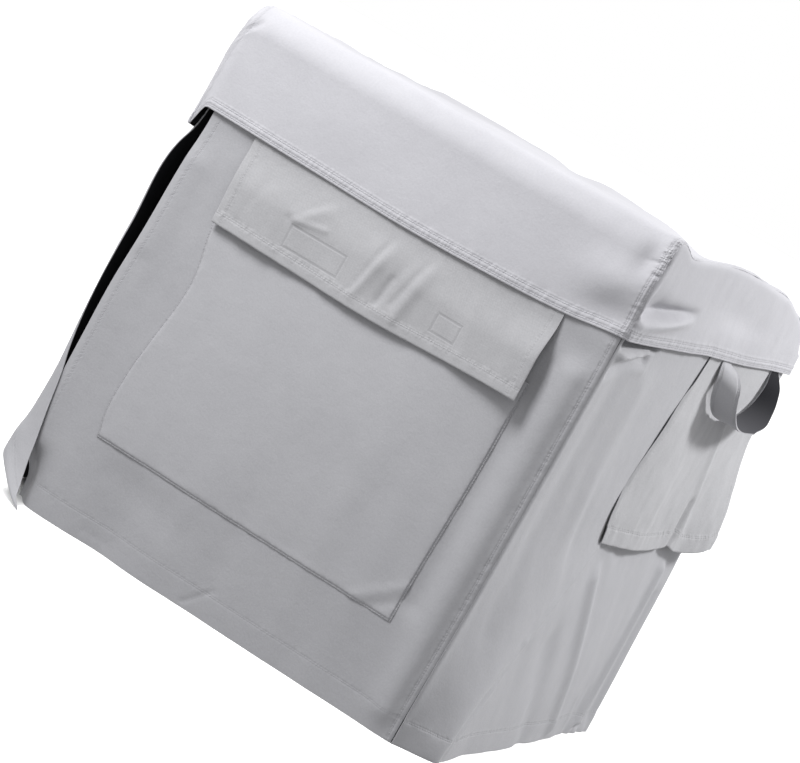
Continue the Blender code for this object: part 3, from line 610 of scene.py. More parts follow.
def black_inside(name, painted_light=None):
    """The coated inner face: nearly black, with the weave just showing through the coating. Given
    painted_light, its colour goes over to another one between two heights, lower down: painted light where a
    loop's inside catches the light."""
    material, shader, start, flat = cloth_shader(name)
    fine = {"Vector": flat, "Scale": 700.0, "Detail": 2.0}
    grain = start.node("TexNoise", {"noise_dimensions": "2D"}, fine, "Fac")
    colour = grain.mix((0.006, 0.006, 0.008, 1.0), (0.013, 0.013, 0.016, 1.0))
    # Painted light: below the two heights the colour goes over to a lighter one.
    if painted_light:
        place = start.node("TexCoord", {}, {}, "Object")
        z = start.node("SeparateXYZ", {}, {0: place}, "Z")
        colour = (1 - z.above(painted_light["low_z"], painted_light["high_z"])).mix(colour, painted_light["colour"])
    dress(shader, start, colour, {"Height": grain, "Distance": 0.0002, "Strength": 0.6}, 0.9, 0.15)
    return material


BLACK_INSIDE = black_inside("black coated inside")
hood_side_x = HOOD_SIDE - seam_inset(HOOD_CORNER)
strip = Laid(hood_strip, stations(2 * hood_side_x, 0.0034) - hood_side_x, np.arange(len(PROFILE_Z)))


def hem_roll(off, width, height):
    """A turned hem: the doubled cloth stands up by height as far as the stitches at width, and rounds off."""
    return height * ease(off / 0.0012) * (1.0 - ease((off - width) / 0.0016))


def puckers(off, run, rows, pitch, height, seed):
    """Cloth drawn up between stitches: uneven swellings along the run, between and just beside the rows."""
    middle = (rows[0] + rows[-1]) / 2
    reach = (rows[-1] - rows[0]) / 2 + 0.0035
    return height * uneven(run, pitch, seed) * bump(off, middle, reach)


def tucks(off, run, places, deep, reach, length):
    """Short grooves across a seam where its stitches pull: at each place along the run, deep times a hump
    along it and a hump across it."""
    total = np.zeros(off.shape)
    for place in places:
        total = total - deep * bump(run, place, length) * bump(off, 0.0, reach)
    return total


near_corner = bump(strip.foot, 0.112, 0.024)
hem_puckers = 0.35 + 0.65 * ease((strip.x + 0.04) / 0.08)
strip_raised = (
    hem_roll(strip.foot, HOOD_HEM_FOLD, 0.0008)
    + hem_roll(strip.head, HOOD_HEM_FOLD, 0.0008)
    + puckers(strip.foot, strip.left, HOOD_HEM_ROWS, 0.0042, 0.0011, 1) * hem_puckers
    + puckers(strip.head, strip.left, HOOD_HEM_ROWS, 0.0070, 0.0005, 2)
    + puckers(strip.right, strip.foot, TOPSTITCH, 0.0048, 0.0010, 3) * (0.5 + 1.5 * near_corner)
    + puckers(strip.left, strip.foot, TOPSTITCH, 0.0070, 0.0006, 4)
    + tucks(strip.right - 0.005, strip.foot, CORNER_TUCKS, 0.0026, 0.0060, 0.0017)
    + tucks(strip.right - 0.010, strip.foot, (0.088,), 0.0022, 0.0090, 0.0022)
    + tucks(strip.foot - 0.110, strip.left, (0.012,), 0.0030, 0.0060, 0.0050)
    + 0.0011 * slack(strip.left, strip.foot, (0.120, 0.075), 5)
    + 0.0007 * slack(strip.left + 0.9 * strip.foot, strip.foot, (0.050, 0.120), 6)
    - 0.0056 * bump(strip.right, 0.021, 0.012) * bump(strip.foot, 0.092, 0.022)
    - 0.0030 * bump(strip.right, 0.040, 0.030) * bump(strip.foot, 0.018, 0.016)
)
hood_hem = stitches("foot", HOOD_HEM_ROWS, pull=10.0)
strip_rows = [
    stitches("right", TOPSTITCH, pull=10.0, gather=(0.100, 0.034, 3.0)),
    stitches("left", TOPSTITCH, strength=0.5),
    hood_hem,
    stitches("head", HOOD_HEM_ROWS),
]
strip_cloth = woven("hood strip cloth", HOOD_GREYS, THREAD, strip_rows)
hood = cloth_piece("hood_strip", strip, strip_raised, strip_cloth)
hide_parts("hood_centre")

# Hood side bands
# One piece on each side closes the hood, sewn to the strip all along its cut edge and hemmed below. The right
# one's slack is pinched at its front corner, and the left one's front corner hangs low and stands out.


def hood_side(across, up, side, hem):
    """A side band: columns by depth, rows from the hem to the cut edge, and its edges rolled in."""
    depth = HOOD_FRONT + seam_inset(HOOD_CORNER) + across
    z = HOOD_HEM + up * (hood_edge(depth) - HOOD_HEM)
    x = HOOD_SIDE - rolled(hood_inside(depth, z), HOOD_CORNER)
    return hood_form(side * x, depth, z, curve(depth, hem["depth"], hem["lift"]))


def hood_right(across, up):
    """The right band, from its front seam to its back seam."""
    return hood_side(across, up, 1.0, HEM_RIGHT)


def hood_left(across, up):
    """The left band, from its back seam to its front seam."""
    return hood_side(HOOD_LENGTH - across, up, -1.0, HEM_LEFT)


BAND_TUCKS = (0.016, 0.024, 0.031, 0.090, 0.100, 0.108)
band_cloth = woven("hood side cloth", HOOD_GREYS, THREAD, [hood_hem])
right = Laid(hood_right, HOOD_COLUMNS, HOOD_ROWS)
right_raised = (
    hem_roll(right.foot, HOOD_HEM_FOLD, 0.0008)
    + puckers(right.foot, right.left, HOOD_HEM_ROWS, 0.0055, 0.0008, 11)
    + tucks(right.left, right.foot, BAND_TUCKS, 0.0016, 0.0070, 0.0020)
    + 0.0009 * slack(right.left - 0.6 * right.foot, right.foot, (0.060, 0.070), 12) * ease(right.left / 0.03)
    + 0.0004 * slack(right.left, right.foot, (0.024, 0.040), 13) * ease(right.left / 0.03)
)
right_band = cloth_piece("hood_right_side", right, right_raised, band_cloth)
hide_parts("hood_right_band")
left = Laid(hood_left, HOOD_LENGTH - HOOD_COLUMNS[::-1], HOOD_ROWS)
left_raised = (
    hem_roll(left.foot, HOOD_HEM_FOLD, 0.0008)
    + puckers(left.foot, left.left, HOOD_HEM_ROWS, 0.0064, 0.0006, 14)
    + 0.0012 * slack(left.left, left.foot, (0.080, 0.050), 15)
)
left_band = cloth_piece("hood_left_side", left, left_raised, band_cloth)
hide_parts("hood_left_band")

# Front wall
# The front panel hangs from under the front band. Its left edge is free, its right edge is sewn to the right
# wall and topstitched once, and its hem is turned up 28 mm.

WALL_HEIGHT = HOOD_HEM + 0.014  # it reaches up behind the hood's hem
WALL_CORNER = 0.008
WALL_HEM = 0.028
WALL_SEAM_ROW = (0.0068,)  # the single row of stitches beside a wall's corner seam
FREE_EDGE_HEM = 0.011
FOOT_RECESS = 0.036  # how far the free edge's foot has slipped in
HEAD_LEAN = 0.0020  # how far the head leans out against the hood
# The free left edge, by height
LEFT_EDGE = {
    "z": (0.0, 0.045, 0.07, 0.09, 0.15, 0.20, 0.26, 0.33, 0.40, 0.50),
    "x": (-0.2620, -0.2660, -0.2690, -0.2700, -0.2706, -0.2705, -0.2700, -0.2662, -0.2646, -0.2590),
}
FRONT_CREASES = table(
    "from to height width",
    ((-0.252, 0.420), (-0.256, 0.080), -0.004, 0.018),
    ((0.210, 0.430), (0.212, 0.140), 0.003, 0.013),
    ((0.240, 0.430), (0.241, 0.030), -0.0065, 0.019),
    ((0.000, 0.240), (0.000, 0.240), -0.004, 0.170),
)
# Where the hem swings back and forward between its ends: the middle of each swing and its width
HEM_SWEEP = ({"x": -0.138, "depth": 0.006, "width": 0.032}, {"x": -0.082, "depth": -0.003, "width": 0.034})
# Small sharp folds at the hem and beside the free edge
HEM_FOLDS = table(
    "from to height width",
    ((-0.018, 0.006), (0.008, 0.033), -0.0012, 0.0022),
    ((-0.252, 0.300), (-0.246, 0.060), -0.0016, 0.010),
    ((-0.160, 0.085), (-0.060, 0.070), -0.0014, 0.020),
)
# Painted shade: the front wall's greys are the other walls' greys darkened, for the shade on the front
FRONT_SHADED_GREYS = ((0.322, 0.322, 0.341, 1.0), (0.382, 0.382, 0.402, 1.0))


def drawn_in(z):
    """How far the near corner's seam lies inside the box, lower down."""
    return 0.0030 * ease(1.0 - z / 0.2)


def near_head(up):
    """How far a place on a wall follows the hood's hem: 1 at the wall's head, 0 in its lower part."""
    return ease((up - 0.6) / 0.4)


def front_depth(x, z):
    """Depth of the front wall's outer face."""
    seam_x = HALF_WIDTH - drawn_in(z)
    foot = FOOT_RECESS * bump(x, -0.262, 0.019) * ease((0.070 - z) / 0.048)
    sweep = sum(row["depth"] * bump(x, row["x"], row["width"]) for row in HEM_SWEEP) * ease((0.14 - z) / 0.14)
    lean = -HEAD_LEAN * ease((z - 0.46) / 0.03)
    still = ease((0.475 - z) / 0.04) * ease((seam_x - 0.0028 - x) / 0.020)
    return rolled(seam_x - x, WALL_CORNER) + foot + sweep + lean + still * creases(FRONT_CREASES, x, z)


def front_wall(across, up):
    """x runs from the free left edge to the corner seam; the top follows the hood's hem."""
    z = up * WALL_HEIGHT + curve(-0.276 + 0.55 * across, HEM_FRONT["x"], HEM_FRONT["lift"]) * near_head(up)
    left = curve(z, LEFT_EDGE["z"], LEFT_EDGE["x"])
    right = HALF_WIDTH - drawn_in(z) - seam_inset(WALL_CORNER)
    x = left + across * (right - left)
    return x, front_depth(x, z), z


wall_rows = shares(WALL_HEIGHT, 0.0034)
front = Laid(front_wall, shares(2 * HALF_WIDTH, 0.0034), wall_rows)


def wall_slack(x, z):
    """Slack of the front wall, which the patch follows: broad hollows, and upright folds lower down."""
    broad = 0.0010 * slack(x + 0.3, z, (0.110, 0.140), 24)
    upright = 0.0011 * slack(x + 0.3, z, (0.030, 0.400), 25) * ease((0.34 - z) / 0.16)
    return (broad + upright) * ease((0.46 - z) / 0.05)


front_raised = (
    hem_roll(front.foot, WALL_HEM, 0.0001)
    + hem_roll(front.left, FREE_EDGE_HEM, 0.0003) * ease((front.z - 0.08) / 0.05)
    + puckers(front.foot, front.left, (WALL_HEM,), 0.0085, 0.0003, 21)
    + puckers(front.right, front.foot, WALL_SEAM_ROW, 0.0080, 0.0005, 23)
    + tucks(front.foot - 0.026, front.left, (0.072,), 0.0016, 0.0050, 0.0014)
    + tucks(front.foot - 0.012, front.left, (0.120, 0.133, 0.149), 0.0008, 0.0030, 0.0030)
    + creases(HEM_FOLDS, front.x, front.z)
    + wall_slack(front.x, front.z)
)
front_rows = [
    stitches("foot", (WALL_HEM,), strength=0.35, pull=5.0),
    stitches("left", (FREE_EDGE_HEM,), strength=0.5, pull=5.0),
    stitches("right", WALL_SEAM_ROW, strength=0.8),
]
# The front wall's cloth takes the darkened greys: painted shade
front_cloth = woven("front wall cloth", FRONT_SHADED_GREYS, THREAD, front_rows)
front_panel = cloth_piece("front_panel", front, front_raised, front_cloth)
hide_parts("front_wall")

# Right wall
# The right panel hangs from under the right band. Its foot is pulled out to the right, with two long slanting
# folds, and a drawcord slit gathers it near the back corner.

# The crest of the pulled-out cloth runs forward and down from under the flap to the floor
CREST = {
    "z": (0.0, 0.07, 0.139, 0.212, 0.257, 0.32, 0.52),
    "depth": (0.050, 0.092, 0.174, 0.251, 0.318, 0.340, 0.340),
    "out": (0.0375, 0.0330, 0.0225, 0.0105, 0.0025, 0.0, 0.0),
}
# The wall's outline at any height, as a share of the crest's: 0 is the seam, 1 the crest, 2 the back
CREST_OUTLINE = {
    "place": (0.0, 1.0, 1.17, 1.35, 1.68, 1.84, 2.0),
    "share": (0.0, 1.0, 0.76, 0.70, 0.40, 0.22, 0.22),
}
# Creases: ends in depth and z
RIGHT_CREASES = table(
    "from to height width",
    ((0.318, 0.257), (0.174, 0.139), 0.0018, 0.007),
    ((0.174, 0.139), (0.060, 0.015), 0.0018, 0.007),
    ((0.352, 0.215), (0.488, 0.020), 0.0060, 0.014),
    ((0.290, 0.130), (0.380, 0.000), -0.004, 0.024),
    ((0.628, 0.230), (0.624, 0.020), 0.0060, 0.010),
    ((0.668, 0.190), (0.672, 0.025), -0.0045, 0.013),
    ((0.150, 0.440), (0.175, 0.240), 0.0035, 0.030),
    ((0.060, 0.450), (0.075, 0.150), -0.0030, 0.026),
    ((0.012, 0.478), (0.120, 0.470), 0.0028, 0.010),
)
# The pinched cloth's pleats, which run up behind the hem
PLEATS = table(
    "from to height width",
    ((0.006, 0.4875), (0.135, 0.4955), -0.0130, 0.0058),
    ((0.010, 0.4740), (0.110, 0.4880), 0.0070, 0.0060),
    ((0.004, 0.4520), (0.115, 0.4780), -0.0075, 0.0065),
)
# The slit of the drawcord's channel near the back corner, and the gathers that run up from it
DRAWCORD = table(
    "from to height width",
    ((0.622, 0.011), (0.640, 0.010), -0.0040, 0.0024),
    ((0.618, 0.017), (0.644, 0.016), 0.0014, 0.0024),
    ((0.560, 0.055), (0.575, 0.020), 0.0012, 0.0050),
    ((0.596, 0.065), (0.604, 0.022), -0.0014, 0.0045),
    ((0.650, 0.080), (0.655, 0.022), 0.0012, 0.0050),
)
NEAR_SEAM = 0.0105  # how far from a corner seam the columns of the sheet stay straight
WALL_GREYS = ((0.350, 0.350, 0.370, 1.0), (0.410, 0.410, 0.431, 1.0))


def right_out(depth, z):
    """How far the right wall stands out from the box, by depth and height."""
    crest = curve(z, CREST["z"], CREST["depth"])
    place = np.where(depth < crest, depth / crest, 1.0 + (depth - crest) / (DEPTH - crest))
    share = curve(place, CREST_OUTLINE["place"], CREST_OUTLINE["share"])
    swell = curve(z, CREST["z"], CREST["out"]) * share
    gathers = 0.0012 * np.sin(2 * np.pi * depth / 0.030) * ease((depth - 0.56) / 0.05) * ease(1.0 - z / 0.07)
    still = ease((0.488 - z) / 0.03) * ease(depth / 0.03) * ease((DEPTH - depth) / 0.03)
    pleats = creases(PLEATS, depth, z) * ease((depth - 0.005) / 0.014)
    return swell + pleats + still * (creases(RIGHT_CREASES, depth, z) + gathers)


def right_wall(across, up):
    """Across is the depth under the hood; lower down the columns follow the crest forward."""
    start = seam_inset(WALL_CORNER)
    end = DEPTH - start
    z = up * WALL_HEIGHT + curve(across, HEM_RIGHT["depth"], HEM_RIGHT["lift"]) * near_head(up)
    crest = curve(z, CREST["z"], CREST["depth"])
    top_crest = CREST["depth"][-1]
    before = NEAR_SEAM + (crest - NEAR_SEAM) * (across - NEAR_SEAM) / (top_crest - NEAR_SEAM)
    after = crest + (DEPTH - NEAR_SEAM - crest) * (across - top_crest) / (DEPTH - NEAR_SEAM - top_crest)
    depth = np.where(across < top_crest, before, after)
    depth = np.where((across < NEAR_SEAM) | (across > DEPTH - NEAR_SEAM), across, depth)
    depth = np.clip(depth, start, end)
    x = HALF_WIDTH - drawn_in(z) * ease(1.0 - depth / 0.04) + right_out(depth, z)
    x = x - rolled(depth, WALL_CORNER) - rolled(DEPTH - depth, WALL_CORNER)
    return x, depth, z


wall_inset = seam_inset(WALL_CORNER)
side = Laid(right_wall, wall_inset + stations(DEPTH - 2 * wall_inset, 0.0034), wall_rows)
beside_flap = 1.0 - 0.9 * bump(side.depth, 0.315, 0.030) * ease((side.z - 0.25) / 0.03)
side_raised = (
    hem_roll(side.foot, WALL_HEM, 0.0005)
    + puckers(side.foot, side.left, (WALL_HEM,), 0.0085, 0.0006, 31)
    + creases(DRAWCORD, side.depth, side.z)
    + 0.0008
    * slack(side.left, side.foot, (0.060, 0.110), 32)
    * ease((0.46 - side.z) / 0.05)
    * ease(side.left / 0.02)
    * beside_flap
    + 0.0010
    * slack(side.left + 0.5 * side.foot, side.foot, (0.034, 0.160), 33)
    * beside_flap
    * ease((0.40 - side.z) / 0.10)
    * ease(side.left / 0.03)
    * ease(side.right / 0.03)
)
side_hem = stitches("foot", (WALL_HEM,), strength=0.6, pull=10.0)
side_cloth = woven("right wall cloth", WALL_GREYS, THREAD, [side_hem])
side_panel = cloth_piece("right_panel", side, side_raised, side_cloth)
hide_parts("right_wall")

# Back wall
# The back panel, not shown in the photograph: a plain hung sheet sewn to both side walls, with the same hem.


def back_wall(across, up):
    """Runs from the right seam to the left seam."""
    z = up * WALL_HEIGHT
    right = HALF_WIDTH + right_out(np.full_like(z, DEPTH), z)
    x = right - seam_inset(WALL_CORNER) - across * (right + HALF_WIDTH - 2.0 * seam_inset(WALL_CORNER))
    z = z + curve(x, HEM_BACK["x"], HEM_BACK["lift"]) * near_head(up)
    inside = HALF_WIDTH - np.abs(x)
    waves = 0.005 * np.sin(2 * np.pi * (x + 0.05) / 0.21) * ease(1.0 - z / 0.42) * ease(inside / 0.05)
    lean = 0.0036 * ease((z - 0.45) / 0.04) * ease(inside / 0.03)
    depth = DEPTH + waves + lean - rolled(right - x, WALL_CORNER) - rolled(x + HALF_WIDTH, WALL_CORNER)
    return x, depth, z


back = Laid(back_wall, shares(2 * HALF_WIDTH, 0.0040), wall_rows)
back_raised = (
    hem_roll(back.foot, WALL_HEM, 0.0007)
    + puckers(back.foot, back.left, (WALL_HEM,), 0.0085, 0.0005, 41)
    + 0.0012
    * slack(back.left, back.foot, (0.060, 0.090), 42)
    * ease((0.44 - back.z) / 0.05)
    * ease(back.left / 0.02)
    * ease(back.right / 0.02)
)
back_rows = [stitches("foot", (WALL_HEM,)), stitches("left", WALL_SEAM_ROW), stitches("right", WALL_SEAM_ROW)]
back_cloth = woven("back wall cloth", WALL_GREYS, THREAD, back_rows)
back_panel = cloth_piece("back_panel", back, back_raised, back_cloth)
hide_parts("back_wall")

# Left wall
# The left panel hangs from under the left band. Its front edge is free, so the black inside shows in the open
# corner, and its foot turns forward round the corner to a point.

# By height: where the wall's front corner is, how wide the lap is that goes on past it to the free edge, how
# far the lap comes forward for each metre of its width, and how far the wall stands out behind the corner
LEFT_WALL = {
    "z": (0.0, 0.010, 0.020, 0.045, 0.07, 0.115, 0.15, 0.175, 0.20, 0.33, 0.437, 0.455, 0.50),
    "corner_x": (
        (-0.286, -0.286, -0.286, -0.285, -0.283, -0.281, -0.2805)
        + (-0.2822, -0.2845, -0.2868, -0.2832, -0.2788, -0.2735)
    ),
    "corner_depth": (
        (-0.010, -0.010, -0.009, -0.008, -0.006, -0.004, -0.0035)
        + (-0.003, -0.002, -0.001, 0.001, 0.0062, 0.0062)
    ),
    "lap": (0.0715, 0.058, 0.050, 0.037, 0.0285, 0.0172, 0.0105, 0.0058, 0.0035, 0.002, 0.002, 0.002, 0.002),
    "forward": (0.436, 0.400, 0.330, 0.204, 0.140, 0.120, 0.100, 0.050, 0.0, 0.0, 0.0, 0.0, 0.0),
    "flare": (0.031, 0.0305, 0.030, 0.029, 0.026, 0.020, 0.016, 0.0135, 0.011, 0.005, 0.0015, 0.0008, 0.0),
}
LEFT_OUTLINE = {
    "along": (0.0, 0.10, 0.25, 0.50, 1.0),
    "corner_share": (1.0, 0.92, 0.80, 0.50, 0.0),
    "flare_share": (0.0, 0.28, 1.00, 0.75, 0.0),
}
LAP_SHARE = 0.07  # share of the sheet's columns that lie on the lap
LAP_ROUND = 0.004
LAP_LIFT = 0.041  # how far the lap's hem is lifted at the corner


def left_wall(across, up):
    """Runs from the back seam to the free front edge, whose foot laps round the corner, in front of the front
    wall. Behind the corner the depth grows with the cloth; on the lap x grows, and depth falls by forward."""
    place = 1.0 - across
    z = up * WALL_HEIGHT
    row = {name: curve(z, LEFT_WALL["z"], column) for name, column in LEFT_WALL.items()}
    end = DEPTH - seam_inset(WALL_CORNER)
    past = (place - LAP_SHARE) / (1.0 - LAP_SHARE)
    on_lap = row["lap"] * (place / LAP_SHARE - 1.0)
    from_corner = np.where(past < 0.0, on_lap, past * (end - row["corner_depth"]))
    beyond = (from_corner + np.hypot(from_corner, LAP_ROUND)) / 2.0
    before = beyond - from_corner
    depth = np.minimum(row["corner_depth"] + beyond - row["forward"] * before, end)
    along = np.clip(beyond / end, 0.0, 1.0)
    out = (row["corner_x"] + HALF_WIDTH) * curve(along, LEFT_OUTLINE["along"], LEFT_OUTLINE["corner_share"])
    out = out - row["flare"] * curve(along, LEFT_OUTLINE["along"], LEFT_OUTLINE["flare_share"])
    waves = ease((along - 0.2) / 0.1) * ease((1.0 - along) / 0.1) * ease((0.45 - z) / 0.1)
    out = out + 0.003 * np.sin(2 * np.pi * along / 0.31) * waves + np.sqrt(1.0 - row["forward"] ** 2) * before
    out = out - 0.0036 * ease((z - 0.45) / 0.04) * ease((along - 0.02) / 0.04) * ease((1.0 - along) / 0.05)
    hem = curve(depth, HEM_LEFT["depth"], HEM_LEFT["lift"]) * near_head(up)
    lifted = np.where(past < 0.0, np.abs(place / LAP_SHARE) ** 1.3, 1.0 - ease(past / 0.2))
    z = z + hem + LAP_LIFT * lifted * ease(1.0 - up / 0.25)
    return out - HALF_WIDTH + rolled(DEPTH - depth, WALL_CORNER), depth, z


open_side = Laid(left_wall, shares(DEPTH, 0.0036), wall_rows)
open_raised = (
    hem_roll(open_side.foot, WALL_HEM, 0.0003)
    + puckers(open_side.foot, open_side.left, (WALL_HEM,), 0.0085, 0.0004, 51)
    + 0.0010
    * slack(open_side.left, open_side.foot, (0.055, 0.090), 52)
    * ease((0.44 - open_side.z) / 0.05)
    * ease(open_side.left / 0.02)
)
open_hem = stitches("foot", (WALL_HEM,), strength=0.4, pull=5.0)
open_cloth = woven("left wall cloth", WALL_GREYS, THREAD, [open_hem])
left_panel = cloth_piece("left_panel", open_side, open_raised, open_cloth)
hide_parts("left_wall")

# Patch
# A large patch of the walls' cloth, sewn down flat on the front wall along its sides and foot. Its head lies
# under the flap, and its lower right corner is drawn into two small folds.

PATCH_GAP = 0.0008
SOLID_CLOTH = 0.0015  # how thick the solids' sheets are, whose outer faces this scene's sheets keep
PATCH_ROW = (0.0004,)
PATCH_LEFT = {
    "z": (0.110, 0.128, 0.184, 0.230, 0.306, 0.376, 0.405),
    "x": (-0.197, -0.201, -0.202, -0.196, -0.187, -0.1975, -0.198),
}
PATCH_RIGHT = {"z": (0.108, 0.305, 0.405), "x": (0.199, 0.204, 0.204)}
PATCH_FOOT = 0.1095
PATCH_HEAD = 0.402
PATCH_FOLDS = table(
    "from to height width",
    ((0.150, 0.113), (0.196, 0.150), 0.0012, 0.006),
    ((0.168, 0.111), (0.197, 0.132), -0.0008, 0.005),
)


def pocket_patch(across, up):
    """Lies on the front wall with its edges where the stitching holds them."""
    z = PATCH_FOOT + up * (PATCH_HEAD - PATCH_FOOT)
    left = curve(z, PATCH_LEFT["z"], PATCH_LEFT["x"])
    right = curve(z, PATCH_RIGHT["z"], PATCH_RIGHT["x"])
    x = left + across * (right - left)
    fullness = 0.0024 * np.sin(np.pi * across) * np.sin(np.pi * up)
    return x, front_depth(x, z) - PATCH_GAP - SOLID_CLOTH - fullness, z


patch = Laid(pocket_patch, shares(0.40, 0.0036), shares(0.2925, 0.0036))
patch_edge = np.minimum(np.minimum(patch.left, patch.right), patch.foot)
patch_raised = (
    wall_slack(patch.x, patch.z)
    - 0.0013 * (1.0 - ease(patch_edge / 0.0045))
    + 0.0006 * slack(patch.left, patch.foot, (0.070, 0.090), 61) * ease(patch_edge / 0.01)
    + puckers(patch_edge, patch.left + patch.foot, (0.0018,), 0.0060, 0.0004, 62)
    + creases(PATCH_FOLDS, patch.x, patch.z)
)
# Stitch rows right at the patch's edges, strongest at its sides: their dark line is mostly painted shade
# along the edges
patch_rows = [
    stitches("left", PATCH_ROW, strength=2.2),
    stitches("right", PATCH_ROW, strength=2.2),
    stitches("foot", PATCH_ROW),
]
patch_cloth = woven("patch cloth", WALL_GREYS, THREAD, patch_rows)
patch_piece = cloth_piece("patch", patch, patch_raised, patch_cloth)
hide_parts("pocket_patch")

# Front flap
# A flap of coarser cloth, sewn in under the front band, hangs over the patch's head. Its sides and foot are
# hemmed, and two rectangles of stitching show where hook-and-loop strips are sewn on behind.

FLAP_LEFT = (-0.2014, -0.1972)  # at its head and at its foot
FLAP_RIGHT = (0.2011, 0.2045)
FLAP_FOOT = {"x": (-0.198, 0.015, 0.205), "z": (0.3772, 0.3736, 0.3800)}
FLAP_CREASES = table(
    "from to height width",
    ((-0.061, 0.474), (-0.112, 0.430), 0.0022, 0.008),
    ((0.009, 0.472), (-0.014, 0.392), 0.0026, 0.007),
    ((0.030, 0.472), (0.014, 0.398), -0.0018, 0.008),
    ((0.056, 0.471), (0.040, 0.390), 0.0026, 0.007),
    ((0.150, 0.450), (0.160, 0.385), -0.0020, 0.022),
)
# Small sharp folds on top of those creases
FLAP_FOLDS = table(
    "from to height width",
    ((-0.080, 0.470), (-0.118, 0.424), -0.0012, 0.0050),
    ((-0.112, 0.4250), (-0.075, 0.4315), 0.0012, 0.0035),
    ((-0.004, 0.462), (-0.019, 0.392), -0.0016, 0.0035),
    ((0.018, 0.425), (0.014, 0.392), -0.0014, 0.0030),
    ((0.046, 0.462), (0.030, 0.400), -0.0012, 0.0035),
    ((0.110, 0.455), (0.126, 0.395), 0.0008, 0.0060),
    ((-0.160, 0.450), (-0.172, 0.392), -0.0007, 0.0070),
)
# The stitched rectangles: low and high corner, by x and z
HOOK_STRIPS = ((-0.111, 0.394, -0.040, 0.419), (0.082, 0.397, 0.112, 0.418))
GAP = 0.0004  # between pieces sewn face to face
FLAP_TUCK = 0.011  # how far a flap reaches up behind the hood's hem
FLAP_HEM = 0.0125
FLAP_EDGE_HEM = 0.0105
COARSE_THREAD = 0.0012
FLAP_GREYS = ((0.320, 0.320, 0.334, 1.0), (0.405, 0.405, 0.421, 1.0))


def front_flap(across, up):
    """Hangs from behind the front hem, resting on the patch's head and standing off at its right edge."""
    top_x = FLAP_LEFT[0] + across * (FLAP_RIGHT[0] - FLAP_LEFT[0])
    foot_x = FLAP_LEFT[1] + across * (FLAP_RIGHT[1] - FLAP_LEFT[1])
    x = foot_x + up * (top_x - foot_x)
    head = HOOD_HEM + FLAP_TUCK + curve(x, HEM_FRONT["x"], HEM_FRONT["lift"])
    foot = curve(x, FLAP_FOOT["x"], FLAP_FOOT["z"])
    z = foot + up * (head - foot)
    hang = ease((0.474 - z) / 0.05)
    stand = 0.0065 + 0.0065 * ease((x - 0.08) / 0.12) + 0.0015 * np.cos(2 * np.pi * (x - 0.02) / 0.16)
    depth = -HEAD_LEAN - GAP - SOLID_CLOTH - hang * (stand + creases(FLAP_CREASES, x, z))
    return x, depth, z


flap = Laid(front_flap, shares(0.40, 0.0026), shares(0.112, 0.0026))
free = ease((0.470 - flap.z) / 0.03)
flap_raised = free * (
    hem_roll(flap.foot, FLAP_HEM, 0.0010)
    + hem_roll(flap.left, FLAP_EDGE_HEM, 0.0006)
    + hem_roll(flap.right, FLAP_EDGE_HEM, 0.0006)
    + puckers(flap.foot, flap.left, (FLAP_HEM,), 0.0060, 0.0006, 71)
    + creases(FLAP_FOLDS, flap.x, flap.z)
    + 0.0007 * slack(flap.left + 0.3 * flap.foot, flap.foot, (0.014, 0.060), 72)
    + 0.0006 * slack(flap.left, flap.foot, (0.040, 0.040), 73)
)
flap_rows = [
    stitches("foot", (FLAP_HEM,), strength=0.6, pull=12.0),
    stitches("left", (FLAP_EDGE_HEM,), strength=0.4, pull=5.0),
    stitches("right", (FLAP_EDGE_HEM,), strength=0.4, pull=5.0),
]
flap_cloth = woven("front flap cloth", FLAP_GREYS, COARSE_THREAD, flap_rows, HOOK_STRIPS)
flap_piece = cloth_piece("front_flap_cloth", flap, flap_raised, flap_cloth)
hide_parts("front_flap")

# Side flap
# A larger flap sewn in under the right band. Its foot is hemmed deep at the front half and narrower behind, a
# pleat runs down to a step in its foot, and its back lower corner stands out.

SIDE_HEM = 0.022
SIDE_GREYS = ((0.350, 0.350, 0.365, 1.0), (0.440, 0.440, 0.458, 1.0))
# Its left edge, by height, and how far it stands off the wall
SIDE_LEFT = {
    "z": (0.258, 0.300, 0.335, 0.380, 0.420, 0.470, 0.520),
    "depth": (0.3105, 0.2985, 0.3000, 0.3125, 0.3215, 0.3357, 0.3440),
    "stand": (0.0034, 0.0024, 0.0003, 0.0002, 0.0010, 0.0003, 0.0),
}
# How far the last millimetres of its left edge lie down on the wall
SIDE_EDGE_DIP = {
    "z": (0.285, 0.315, 0.365, 0.385, 0.402, 0.425, 0.520),
    "dip": (0.0, 0.0013, 0.0013, 0.0004, 0.0004, 0.0010, 0.0010),
}
SIDE_RIGHT = {"z": (0.270, 0.420, 0.520), "depth": (0.697, 0.690, 0.684)}
SIDE_FOOT = {
    "depth": (0.296, 0.545, 0.570, 0.600, 0.660, 0.700),
    "z": (0.2590, 0.2620, 0.2650, 0.2600, 0.2650, 0.2745),
}
SIDE_CREASES = table(
    "from to height width",
    ((0.560, 0.325), (0.568, 0.262), -0.0035, 0.007),
    ((0.535, 0.430), (0.582, 0.290), 0.0035, 0.011),
    ((0.400, 0.420), (0.430, 0.265), 0.0020, 0.035),
)


def side_flap_x(depth, z):
    """Outer face of the side flap: its left edge lies by the wall, and its back lower corner stands out."""
    edge_stand = curve(z, SIDE_LEFT["z"], SIDE_LEFT["stand"])
    middle_stand = 0.009 * ease((0.494 - z) / 0.20)
    stand = edge_stand + (middle_stand - edge_stand) * ease((depth - 0.30) / 0.08)
    corner = 0.018 * ease((depth - 0.60) / 0.10) * ease((0.42 - z) / 0.14)
    waves = ease((0.480 - z) / 0.05) * creases(SIDE_CREASES, depth, z)
    return HALF_WIDTH + GAP + SOLID_CLOTH + stand + corner + waves


